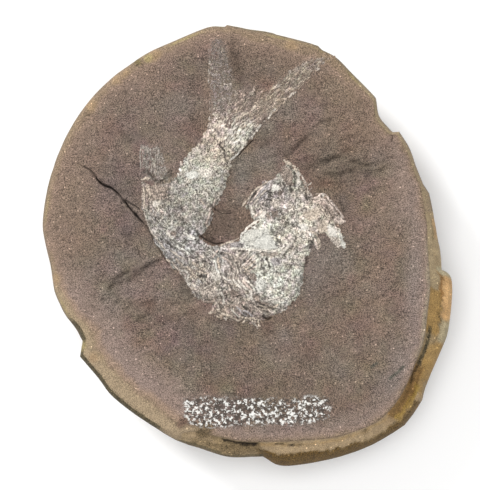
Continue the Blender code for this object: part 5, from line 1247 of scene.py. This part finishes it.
def mix(base, colour, amount):
    """Blend rows of base towards a colour by an amount from 0 to 1."""
    amount = np.clip(amount, 0.0, 1.0)[:, None]
    return base * (1 - amount) + np.asarray(colour) * amount


def mix_rows(base, other, amount):
    """Blend the rows of base towards the same rows of another array."""
    if base.ndim == 2:
        amount = amount[:, None]
    return base * (1 - amount) + other * amount


def band(value, low, high, soft):
    """1 between low and high, falling to 0 over a soft distance outside."""
    return ease((value - low) / soft + 0.5) * ease((high - value) / soft + 0.5)


def by_angle(table, angles):
    """Values of a table by bearing, at the given bearings."""
    at = sorted(table)
    return np.interp(angles, at, [table[a] for a in at], period=360)


def face_tint(points):
    """Colour of the bare face: broad areas, the mauve zone towards the rim and the tan border, with painted
    shade along the edge at the lower left and in some broad areas.
    """
    plan = points[:, :2]
    flat = at_height(plan)
    mottled = 1 + 0.06 * noise(flat, 8.0, 71) + 0.09 * noise(flat, 3.0, 72)
    tint = np.tile(GREY, (len(plan), 1)) * mottled[:, None]
    tint *= (1 + 0.09 * noise(flat, 1.3, 78) + 0.07 * noise(flat, 0.7, 79))[:, None]
    for channel in range(3):
        slow, quick = noise(flat, 4.5, 151 + channel), noise(flat, 1.8, 161 + channel)
        tint[:, channel] *= 1 + 0.07 * slow + 0.05 * quick
    tint = mix(tint, COOL_GREY, 0.35 * ease(noise(flat, 5.0, 73)))
    tint = mix(tint, WARM_GREY, 0.5 * ease(noise(flat, 4.0, 74)))
    angles = bearings(plan)
    margin = face_radius(angles) - np.linalg.norm(plan, axis=1) + 0.5 * noise(flat, 2.2, 76)
    margin += 0.3 * noise(flat, 0.8, 77)
    width = by_angle(TAN_WIDTHS, angles)
    right = band(angles, *RIGHT_FACE)
    left = band(angles, *LEFT_FACE)
    tint = mix(tint, MAUVE, 0.8 * right * (1 - ease(margin / 7.0)))
    tint = mix(tint, MAUVE, 0.9 * left * (1 - ease((margin - width - 2.0) / 8.0)))
    tint = mix(tint, RED_TAN, 0.75 * (1 - right) * (1 - left) * (1 - ease(margin / 8.0)))
    for centre, radii, colour, strength in FACE_AREAS:
        amount = strength * soft_spot(plan, centre, radii) * (1 + 0.3 * noise(flat, 3.0, 75))
        tint = mix(tint, colour, amount)
    tint = mix(tint, PINK_TAN, 0.6 * (1 - ease((margin - width) / 2.2)))
    tint = mix(tint, ORANGE_TAN, 0.65 * left * (1 - ease((margin - width - 0.3) / 1.8)))
    tint = mix(tint, TAN, 0.85 * (1 - ease((margin - width) / 1.2 + 0.5)))
    tint = mix(tint, BAND_TAN, 0.9 * left * (1 - ease((margin - 0.8 * width) / 1.6 + 0.5)))
    # painted shade along the face's edge at the lower left, where the flank turns away from the light
    shade = band(angles, *SHADED_FACE_EDGE) * (1 - ease(margin / 0.3))
    tint = mix(tint, EDGE_SHADE, 0.35 * shade)
    green = 0.75 * band(angles, *GREEN_FACE_EDGE)
    return mix(tint, EDGE_GREEN, green * (1 - ease((margin - 0.7) / 0.6 + 0.5)))


def rim_tint(tint, points, share):
    """Adds the bevel and its olive edge, left, top and lower left; at the lower left the bevel gets painted
    shade.
    """
    flat = at_height(points[:, :2])
    angles = bearings(points)
    edge = share + 0.12 * noise(flat, 1.5, 81)
    lower_left = band(angles, *SHADED_BEVEL)
    top = band(angles, *TOP_BEVEL)
    right = band(angles, *YELLOW_BEVEL)
    yellow = np.maximum(0.7 * ease(0.3 + noise(flat, 7.0, 88)), 0.85 * right) * band(edge, 0.1, 0.7, 0.2)
    tint = mix(tint, YELLOW_EDGE, yellow * (share > 0) * (1 - lower_left))
    tint = mix(tint, OLIVE, 0.5 * (share > 0) * ease((edge - 0.7) * 5 + 0.4 * top))
    upper_right = 0.8 * (share > 0) * band(angles, *TAN_BEVEL)
    tint = mix(tint, BAND_TAN, upper_right * (1 - ease((edge - 0.75) * 4)))
    # painted shade on the lower left bevel
    return mix(tint, EDGE_SHADE, 0.8 * (share > 0) * lower_left)


def spot_tint(tint, points):
    """Ochre and rusty stains near the rim."""
    flat = at_height(points[:, :2])
    for centre, radius, colour in EDGE_SPOTS:
        distance = np.linalg.norm(points[:, :2] - centre, axis=1) / radius + 0.35 * noise(flat, 1.4, 82)
        tint = mix(tint, colour, 0.85 * (1 - ease(distance - 0.3)))
    return tint


def rind_tint(tint, points, share):
    """Bands of the wide rind ledge."""
    flat = at_height(points[:, :2])
    angles = bearings(points)
    on = wide_ledge(angles) & (share > 0) & (share <= 1)
    turned = angles + 1.0 * noise(flat, 1.8, 83)
    passed = share + 0.07 * noise(flat, 1.2, 84) + 0.04 * noise(flat, 0.5, 85)
    for (start, end), (low, high), colour, strength in RIND_PAINT:
        first = low - 0.1 * (low == 0)
        last = high + 0.1 * (high == 1)
        amount = band(turned, start, end, 1.2) * band(passed, first, last, 0.08)
        tint = np.where(on[:, None], mix(tint, colour, strength * amount), tint)
    mottled = 1 + 0.16 * noise(flat, 1.0, 86) + 0.10 * noise(flat, 0.45, 87)
    return np.where(on[:, None], tint * mottled[:, None], tint)


def back_tint(tint, points, share):
    """Brown and tan mottling of the back below the widest line, with painted shade just under that line."""
    shade = mix(np.tile(BACK_BROWN, (len(points), 1)), BACK_TAN, ease(0.5 + 0.9 * noise(points, 9.0, 91)))
    shade = mix(shade, OCHRE, 0.6 * ease(noise(points, 6.0, 92) * 1.6 - 0.2))
    shade = mix(shade, FLANK_BROWN_AND_SHADE, 0.6 * ease(noise(points, 4.0, 93) * 1.5 - 0.2))
    shade = mix(shade, GREY, 0.5 * ease(noise(points, 14.0, 94) * 2 - 0.3))
    # painted shade under the widest line, where the back turns under
    shade = mix(shade, FLANK_BROWN_AND_SHADE, 0.85 * (1 - ease((share - 1) * 5)))
    return np.where((share > 1)[:, None], shade, tint)


def bone_tint(points):
    """Colour of the fish's mineral at plan points."""
    total = np.full(len(points), BONE_BASE_WEIGHT)
    tint = np.tile(BONE_BASE, (len(points), 1)) * BONE_BASE_WEIGHT
    for centre, radius, colour in BONE_TINTS:
        weight = np.exp(-((points - centre) ** 2).sum(1) / radius ** 2)
        total += weight
        tint += weight[:, None] * colour
    return tint / total[:, None]


def band_wear(points, share):
    """How strongly the dark band near the bottom shows."""
    plan = points[:, :2]
    flat = at_height(plan)
    depth = depth_inside(plan, np.array(WORN_BAND), reach=2.0)
    return 0.9 * ease((depth + 0.5 * noise(flat, 1.2, 98)) / 0.8 + 0.2) * (share == 0)


def stone_tint(points, crack_shade, share):
    """Colour of every vertex of the stone, from its place, the painted shade of cracks there and its share.
    """
    plan = points[:, :2]
    tint = face_tint(points)
    tint = rind_tint(tint, points, share)
    wide = wide_ledge(bearings(plan))
    tint = np.where(wide[:, None], tint, rim_tint(tint, points, share))
    tint = spot_tint(tint, points)
    tint = back_tint(tint, points, share)
    rusty = soft_spot(plan, RUSTY_SPOT, RUSTY_RADII)
    tint = mix(tint, RED_BROWN, 0.8 * rusty * (share == 0))
    for line, half_width in SCRATCHES:
        distance = near_line(plan, spline(line, False, PLATE_STEP), reach=2.0)[0]
        tint = mix(tint, SCRAPE_GREEN, 0.8 * (1 - ease(distance / half_width - 0.4)) * (share == 0))
    # painted shade darkens the cracks, crevices and pits
    return mix(tint, CRACK_SHADE, 0.92 * crack_shade)


# ---- the fish's mineral -----------------------------------------------------------------------------------
def flow_at(points):
    """Direction in radians of the fish's grain at plan points, and how stretched it is."""
    turn = np.zeros(len(points), complex)
    stretch = np.zeros(len(points))
    total = np.zeros(len(points))
    for x, y, degrees, ratio in FLOW:
        weight = 1 / (((points - (x, y)) ** 2).sum(1) + 0.3) ** 2
        turn += weight * np.exp(2j * math.radians(degrees))
        stretch += weight * ratio
        total += weight
    return np.angle(turn) / 2, stretch / total


def streaked(points, turn, reach, size, seed):
    """Noise with bumps about `size` mm wide, drawn out along the fish's grain by `reach` mm each way."""
    step = np.column_stack([np.cos(turn), np.sin(turn)]) * reach[:, None]
    total = sum(noise(at_height(points + share * step), size, seed) for share in np.linspace(-1, 1, 7))
    return total / 7 * np.sqrt(1 + 1.7 * reach / size)


class Crust:
    """Rise and colour of the fish's mineral on a fine grid; plates, ridges and gaps go on top.

    For each point, `body` and `fin` say how much of each covers it, `mosaic` makes the grains and
    `loose` breaks up edges.
    """

    def __init__(self):
        across = np.arange(CRUST_LOW[0], CRUST_HIGH[0], CRUST_GRID)
        up = np.arange(CRUST_LOW[1], CRUST_HIGH[1], CRUST_GRID)
        x, y = np.meshgrid(across, up)
        plan = np.column_stack([x.ravel(), y.ravel()])
        zone = fish_zone(plan, margin=0.8)
        for line, half_width in [stroke[:2] for stroke in STROKES + RAGGED]:
            distance = near_line(plan, spline(line, False, CREVICE_STEP), reach=half_width + 0.6)[0]
            zone |= distance < half_width + 0.5
        self.zone = zone.reshape(x.shape)
        self.points = plan[self.zone.ravel()]
        self.flat = at_height(self.points)
        self.height, crack_shade = face_height(self.points)
        self.scaly = soft_spot(self.points, SCALY_PART, SCALY_RADIUS)
        self.loose = 0.6 * noise(self.flat, 0.55, 144) + 0.5 * noise(self.flat, 0.3, 145)
        self.mosaic = self.grains()
        wander = 0.35 * noise(self.flat, 1.2, 51) + 0.4 * self.loose
        self.body = ease((fish_depth(self.points) + wander) / 0.35 + 0.3)
        self.fin = np.zeros(len(self.points))
        veil = np.zeros(len(self.points))
        for outline, strength, soft in FIN_VEILS:
            depth = depth_inside(self.points, np.array(outline)) + 0.5 * wander
            self.fin = np.maximum(self.fin, ease(depth / 0.4 + 0.6))
            veil = np.maximum(veil, strength * ease(depth / soft))
        self.tint = self.first_coat(crack_shade, veil)
        self.rise = 0.12 * ease(0.5 + 0.9 * self.mosaic) * np.maximum(self.body, 0.4 * self.fin)

    def grains(self):
        """Mosaic of grains drawn out along the fish, with creases between them."""
        turn, stretch = flow_at(self.points)
        stretch = np.maximum(stretch - 1.2, 0)
        fins = ease((self.points[:, 1] - FINS_START) / 4.0)
        creases = np.maximum(np.exp(-(noise(self.flat, 1.7, 138) / 0.08) ** 2),
                             0.8 * np.exp(-(noise(self.flat, 0.9, 139) / 0.12) ** 2))
        small = streaked(self.points, turn, 0.20 * stretch, 0.21, 141)
        middling = streaked(self.points, turn, 0.34 * stretch, 0.45, 142)
        large = streaked(self.points, turn, 0.50 * stretch, 1.2, 143)
        return (0.80 * small
                + (0.28 - 0.1 * fins - 0.13 * self.scaly) * middling
                + (0.14 - 0.08 * self.scaly) * large
                - (0.65 - 0.55 * self.scaly - 0.45 * fins) * creases + 0.12 - 0.14 * self.scaly)

    def first_coat(self, crack_shade, veil):
        """Colour of bare stone, speckled with grains under the fins and covered by them on the body."""
        bare = stone_tint(at_height(self.points, FACE_HEIGHT), crack_shade, np.zeros(len(self.points)))
        hue = 1 + 0.05 * np.column_stack([noise(self.flat, 0.8, seed) for seed in (146, 147, 148)])
        grains = bone_tint(self.points) * hue * np.exp((0.9 - 0.18 * self.scaly) * self.mosaic)[:, None]
        grains = mix(grains, GAP_BROWN, 0.55 * ease(-self.mosaic * 3 - 1.2))
        density = veil + 0.5 * soft_spot(self.points, WEB_ROOT, WEB_ROOT_RADIUS) * ease(3 * veil)
        dotted = ease(0.5 + 2.2 * (self.mosaic + 0.9 * density - 0.55))
        film = 0.35 * ease(1.4 * veil)
        speckle = ease(2.2 * veil) * (film + (1 - film) * dotted)
        return mix_rows(mix_rows(bare, grains, speckle), grains, self.body)

    def plate(self, outline, colour, rise, mottling):
        """One distinct piece of bone, or a bare spot, with its own colour."""
        depth = depth_inside(self.points, spline(outline, True, PLATE_STEP), reach=1.5) + 0.42 * self.loose
        cover = ease(depth / 0.4 + 0.35)
        shades = np.asarray(colour) * np.exp(mottling * self.mosaic)[:, None]
        self.tint = mix_rows(self.tint, shades, 0.9 * cover)
        self.body = np.maximum(self.body, cover)
        self.rise = mix_rows(self.rise, rise + mottling * self.rise, cover)

    def stroke(self, line, half_width, colour, broken=0.0):
        """A narrow ridge with a dark gap beside it, broken over about a share of its length."""
        middle = spline(line, False, STROKE_STEP)
        distance, share, _ = near_line(self.points, middle, reach=4 * half_width + 0.5)
        width = half_width * (1 + 0.8 * self.loose) * tapered(share, steepness=6, blunt=0.4)
        cover = ease((width - distance) / (0.6 * half_width) + 0.5)
        beside = ease((2.1 * width - distance) / (0.8 * half_width) + 0.5)
        if broken:
            seed = int(1000 * abs(line[0][0])) % 997
            kept = ease(1.6 - 2.2 * broken + 2.0 * noise(self.flat, 0.9, seed))
            cover *= kept
            beside *= kept
        self.tint = mix(self.tint, GAP_BROWN, 0.4 * beside)
        self.tint = mix_rows(self.tint, np.asarray(colour) * np.exp(0.5 * self.mosaic)[:, None], cover)
        self.rise += 0.10 * cover
        self.body = np.maximum(self.body, cover)

    def slot(self, line, half_width, shade_strength):
        """An opening between pieces of bone, sunk a little and darkened with painted shade."""
        middle = spline(line, False, STROKE_STEP)
        distance, share, _ = near_line(self.points, middle, reach=4 * half_width + 0.6)
        width = half_width * (1 + 1.3 * self.loose) * tapered(share, steepness=5, blunt=0.5)
        cover = shade_strength * ease((width - distance) / (0.7 * half_width) + 0.5)
        # painted shade in the opening
        self.tint = mix(self.tint, SLOT_SHADE, cover)
        self.rise -= 0.25 * cover

    def lift(self):
        """Height over the split face; the sheet's rim lies just below the stone's surface."""
        film = np.maximum(self.body, self.fin)
        base = CRUST_FILM * film - CRUST_SUNK
        return np.maximum(base + self.rise * film, base - bed_depth(self.points))

    def sheet(self, chosen):
        """Vertices, faces and colours of the part of the crust that lies in the chosen cells."""
        number = np.full(self.zone.shape, -1)
        number[self.zone] = np.arange(len(self.points))
        film = np.zeros(self.zone.shape)
        film[self.zone] = np.maximum(self.body, self.fin)
        corners = np.stack([number[:-1, :-1], number[:-1, 1:], number[1:, 1:], number[1:, :-1]], axis=-1)
        shown = np.maximum.reduce([film[:-1, :-1], film[:-1, 1:], film[1:, 1:], film[1:, :-1]]) > 0.02
        corners = corners[shown & (corners.min(axis=-1) >= 0)]
        corners = corners[chosen(self.points[corners[:, 0]])]
        used = np.unique(corners)
        place = np.zeros(len(self.points), int)
        place[used] = np.arange(len(used))
        vertices = np.column_stack([self.points, self.height + self.lift()])[used]
        return np.minimum(vertices, np.array(CAD_BOX[1]) / MM), place[corners], self.tint[used]


def lay_sweeps(crust):
    """Families of fin rays and ribs, each between a first and a last line, a little unevenly."""
    for first, last, count, bright, broken in SWEEPS:
        first, last = spline(first, False, SWEEP_STEP), spline(last, False, SWEEP_STEP)
        steps = max(len(first), len(last))
        share = np.linspace(0, 1, steps)[:, None]
        ends = [line[np.rint(share[:, 0] * (len(line) - 1)).astype(int)] for line in (first, last)]
        for k in range(count):
            across = (k + 0.4 * math.sin(7.3 * k)) / (count - 1)
            line = ends[0] * (1 - across) + ends[1] * across
            line = line + 0.14 * noise(at_height(line), 1.5, 110 + k)[:, None]
            tint = bone_tint(line[len(line) // 2][None])[0]
            crust.stroke(line[::4], 0.11 + 0.03 * math.sin(5.1 * k), tint * bright, broken)


def fish_crust():
    """The whole fish: its mosaic of grains, then plates, rays and gaps, the gaps darkened with painted shade.
    """
    crust = Crust()
    lay_sweeps(crust)
    for outline, colour, rise, mottling in PLATES:
        crust.plate(outline, colour, rise, mottling)
    for line, half_width, colour in STROKES:
        crust.stroke(line, half_width, colour)
    for line, half_width, colour, missing in RAGGED:
        crust.stroke(line, half_width, colour, missing)
    for line, half_width, shade_strength in SLOTS:
        crust.slot(line, half_width, shade_strength)
    return crust


# ---- materials --------------------------------------------------------------------------------------------
NOISE_RANGE = (0.3, 0.7)      # where nearly all values of a noise node lie
COARSE_GRAIN, FINE_GRAIN = 0.55, 0.22     # width of the bumps
SPECK_SIZE = 0.5              # spacing of the cells that may hold a pale speck
DASH_TURN = math.radians(-25)     # the stone's bedding


def new_material(name):
    """A material with its node tree and its main shader."""
    material = bpy.data.materials.new(name)
    material.use_nodes = True
    return material, material.node_tree, material.node_tree.nodes["Principled BSDF"]


def add(tree, kind, inputs=None, **settings):
    """A new node with its settings and its input values or links."""
    node = tree.nodes.new(kind)
    for name, value in settings.items():
        setattr(node, name, value)
    for name, value in (inputs or {}).items():
        if isinstance(value, bpy.types.NodeSocket):
            tree.links.new(value, node.inputs[name])
        else:
            node.inputs[name].default_value = value
    return node


def grain(tree, place, size, detail=2.0, roughness=0.55):
    """Noise whose bumps are about `size` mm wide."""
    node = add(tree, "ShaderNodeTexNoise", {
        "Vector": place, "Scale": 1 / (size * MM), "Detail": detail, "Roughness": roughness})
    return node.outputs["Fac"]


def mapped(tree, value, low, high, to_low, to_high):
    """The value's range from low to high, stretched over another range."""
    node = add(tree, "ShaderNodeMapRange", {
        "Value": value, "From Min": low, "From Max": high, "To Min": to_low, "To Max": to_high})
    return node.outputs["Result"]


def swung(tree, value, amount):
    """A factor that swings by `amount` to both sides of 1 with a noise."""
    return mapped(tree, value, *NOISE_RANGE, 1 - amount, 1 + amount)


def combined(tree, operation, first, second):
    """Two values added, subtracted or multiplied."""
    return add(tree, "ShaderNodeMath", {0: first, 1: second}, operation=operation).outputs[0]


def scaled(tree, colour, factor):
    """A colour made brighter or darker."""
    node = add(tree, "ShaderNodeVectorMath", {0: colour, "Scale": factor}, operation="SCALE")
    return node.outputs[0]


def blended(tree, amount, first, second):
    """Two colours, each a link or a triple, blended by an amount from 0 to 1."""
    node = add(tree, "ShaderNodeMix", {"Factor": amount}, data_type="RGBA")
    for socket, colour in ((node.inputs[6], first), (node.inputs[7], second)):
        if isinstance(colour, bpy.types.NodeSocket):
            tree.links.new(colour, socket)
        else:
            socket.default_value = (*colour, 1.0)
    return node.outputs[2]


def worn_band(tree, place, stone, worn):
    """Dark rubbed mottles and last flecks of white where `worn` is 1, over the stone's own colour."""
    rubbed = mapped(tree, grain(tree, place, 0.9, detail=3.0, roughness=0.7), 0.42, 0.52, 0.0, 1.0)
    dark = combined(tree, "MULTIPLY", worn, rubbed)
    left = mapped(tree, grain(tree, place, 0.85, detail=3.0, roughness=0.75), 0.51, 0.585, 0.0, 1.0)
    white = combined(tree, "MULTIPLY", worn, left)
    return blended(tree, white, blended(tree, dark, stone, PAINT_DARK), PAINT_WHITE)


def grained(tree, swing):
    """Place, tint, coarse and fine noise, and the speckle that both minerals share."""
    place = add(tree, "ShaderNodeTexCoord").outputs["Object"]
    tint = add(tree, "ShaderNodeAttribute", attribute_name="tint").outputs["Color"]
    coarse = grain(tree, place, COARSE_GRAIN, roughness=0.6)
    fine = grain(tree, place, FINE_GRAIN, detail=1.0)
    speckle = combined(tree, "MULTIPLY", swung(tree, coarse, 0.10), swung(tree, fine, swing))
    return place, tint, coarse, fine, speckle


def calmed(tree, speckle, tint, low, high, kept):
    """The speckle, with only a share of it kept where the tint's red is above `high`."""
    red = add(tree, "ShaderNodeSeparateColor", {"Color": tint}).outputs[0]
    share = mapped(tree, red, low, high, 1.0, kept)
    swing = combined(tree, "SUBTRACT", speckle, 1.0)
    return combined(tree, "ADD", combined(tree, "MULTIPLY", share, swing), 1.0)


def surface(tree, shader, colour, roughness, relief, gloss, strength, depth):
    """Connects a mineral's colour, roughness and small relief, whose depth is in mm."""
    tree.links.new(colour, shader.inputs["Base Color"])
    tree.links.new(roughness, shader.inputs["Roughness"])
    shader.inputs["Specular IOR Level"].default_value = gloss
    bump = add(tree, "ShaderNodeBump", {"Height": relief, "Strength": strength, "Distance": depth * MM})
    tree.links.new(bump.outputs["Normal"], shader.inputs["Normal"])


def dashes(tree, place):
    """Thin darker dashes that run along the stone's bedding."""
    turn = {"Vector": place, "Rotation": (0.0, 0.0, DASH_TURN), "Scale": (0.36, 1.0, 1.0)}
    drawn = add(tree, "ShaderNodeMapping", turn).outputs["Vector"]
    return mapped(tree, grain(tree, drawn, 0.6, roughness=0.6), 0.30, 0.42, 0.62, 1.0)


def specks(tree, place):
    """Small bright specks in a few cells."""
    cells = add(tree, "ShaderNodeTexVoronoi", {
        "Vector": place, "Scale": 1 / (SPECK_SIZE * MM), "Randomness": 1.0})
    lot = add(tree, "ShaderNodeSeparateColor", {"Color": cells.outputs["Color"]}).outputs[0]
    chosen = mapped(tree, lot, 0.94, 1.0, 0.0, 2.6)
    near = mapped(tree, cells.outputs["Distance"], 0.16, 0.42, 1.0, 0.0)
    return combined(tree, "MULTIPLY", chosen, near)


def stone_material():
    """Fine-grained ironstone; its `tint` holds the broad colours."""
    material, tree, shader = new_material("ironstone_face")
    place, tint, coarse, fine, speckle = grained(tree, swing=0.84)
    broad = swung(tree, grain(tree, place, 1.3), 0.08)
    speckle = combined(tree, "MULTIPLY", speckle, broad)
    speckle = combined(tree, "MULTIPLY", speckle, dashes(tree, place))
    speckle = calmed(tree, speckle, tint, low=0.15, high=0.30, kept=0.45)
    sparkle = combined(tree, "ADD", speckle, specks(tree, place))
    worn = add(tree, "ShaderNodeAttribute", attribute_name="worn").outputs["Fac"]
    coloured = worn_band(tree, place, scaled(tree, tint, sparkle), worn)
    rough = mapped(tree, coarse, *NOISE_RANGE, 0.78, 0.95)
    relief = combined(tree, "ADD", coarse, combined(tree, "MULTIPLY", fine, 0.6))
    surface(tree, shader, coloured, rough, relief, gloss=0.25, strength=0.8, depth=0.16)
    return material


def bone_material():
    """Pale mineral of scales and bones; `tint` holds each grain's own colour."""
    material, tree, shader = new_material("bone_mineral")
    _, tint, coarse, fine, speckle = grained(tree, swing=0.85)
    coloured = scaled(tree, tint, calmed(tree, speckle, tint, low=0.38, high=0.50, kept=0.5))
    rough = mapped(tree, coarse, *NOISE_RANGE, 0.62, 0.85)
    surface(tree, shader, coloured, rough, fine, gloss=0.3, strength=0.5, depth=0.08)
    return material


# ---- pieces -----------------------------------------------------------------------------------------------
FLOOR_SIZE = 4.0       # metres
FLOOR_GAP = 0.05       # mm under the stone


def mesh_piece(name, vertices, faces, tint, material, worn=None):
    """A smooth mesh object from arrays in mm, with a colour for each vertex."""
    mesh = bpy.data.meshes.new(name)
    mesh.from_pydata((vertices * MM).tolist(), [], faces.tolist())
    mesh.update()
    colours = mesh.attributes.new("tint", "FLOAT_COLOR", "POINT")
    rgba = np.ones((len(vertices), 4))
    rgba[:, :3] = np.clip(tint / LIGHT_GAIN, 0.0, 1.0)
    colours.data.foreach_set("color", rgba.ravel())
    if worn is not None:
        mesh.attributes.new("worn", "FLOAT", "POINT").data.foreach_set("value", worn)
    mesh.shade_smooth()
    mesh.materials.append(material)
    piece = bpy.data.objects.new(name, mesh)
    bpy.context.scene.collection.objects.link(piece)
    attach(piece, "root")
    return piece


def make_stone():
    """The stone with its face, rind and back, in place of the plain solid."""
    vertices, faces, crack_shade, share = stone_shape()
    tint = stone_tint(vertices, crack_shade, share)
    piece = mesh_piece("slab_stone", vertices, faces, tint, stone_material(), band_wear(vertices, share))
    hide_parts("slab")


def make_fish():
    """The fish's mineral, in two pieces that meet at the tail's root."""
    crust = fish_crust()
    material = bone_material()
    mesh_piece("fish_body", *crust.sheet(lambda place: place[:, 1] < TAIL_ROOT), material)
    mesh_piece("fish_tail", *crust.sheet(lambda place: place[:, 1] >= TAIL_ROOT), material)


def make_floor():
    """Plain pale floor just under the stone."""
    bpy.ops.mesh.primitive_plane_add(size=FLOOR_SIZE, location=(0, 0, -FLOOR_GAP * MM))
    floor = bpy.context.object
    floor.name = "floor"
    material, _, shader = new_material("pale_floor")
    shader.inputs["Base Color"].default_value = (0.95, 0.95, 0.95, 1.0)
    shader.inputs["Roughness"].default_value = 0.9
    shader.inputs["Specular IOR Level"].default_value = 0.1
    floor.data.materials.append(material)


# ---- camera and lights ------------------------------------------------------------------------------------
PIXEL = 0.225                     # mm of the face seen by one pixel of the picture
PICTURE_HEIGHT = 490              # pixels
PICTURE_MIDDLE = (-1.57, 0.22)    # plan point in the middle of the picture, mm
CAMERA_RANGE = 1000.0             # mm from the camera to the face
SENSOR_WIDTH = 36.0               # mm
NEAREST, FARTHEST = 0.01, 10.0    # metres from the camera that it shows


def make_camera():
    """Long lens looking straight down on the face."""
    data = bpy.data.cameras.new("camera")
    data.sensor_width = SENSOR_WIDTH
    data.lens = SENSOR_WIDTH * CAMERA_RANGE / (PICTURE_HEIGHT * PIXEL)
    data.clip_start, data.clip_end = NEAREST, FARTHEST
    camera = bpy.data.objects.new("camera", data)
    bpy.context.scene.collection.objects.link(camera)
    camera.location = (PICTURE_MIDDLE[0] * MM, PICTURE_MIDDLE[1] * MM, (FACE_HEIGHT + CAMERA_RANGE) * MM)
    bpy.context.scene.camera = camera


# Power in watts, size and place in metres.
KEY_LIGHT = (12.5, 0.4, (-0.75, 0.75, 0.72))
OVERHEAD_LIGHT = (18.5, 1.2, (0.0, 0.0, 1.6))
SURROUND = 0.46                   # strength of the even white surround


def make_light(name, power, size, place):
    """A soft square lamp that looks at the stone."""
    data = bpy.data.lights.new(name, "AREA")
    data.energy = power
    data.size = size
    lamp = bpy.data.objects.new(name, data)
    bpy.context.scene.collection.objects.link(lamp)
    lamp.location = place
    lamp.rotation_euler = (-Vector(place)).to_track_quat("-Z", "Y").to_euler()


def make_lights():
    """Key light from the upper left, a wide soft light overhead and an even white surround."""
    make_light("key", *KEY_LIGHT)
    make_light("overhead", *OVERHEAD_LIGHT)
    world = bpy.data.worlds.new("studio")
    world.use_nodes = True
    background = world.node_tree.nodes["Background"]
    background.inputs["Color"].default_value = (1.0, 1.0, 1.0, 1.0)
    background.inputs["Strength"].default_value = SURROUND
    bpy.context.scene.world = world
    bpy.context.scene.view_settings.view_transform = "Standard"


# ---- the scene --------------------------------------------------------------------------------------------
make_camera()
make_lights()
make_floor()
make_stone()
make_fish()
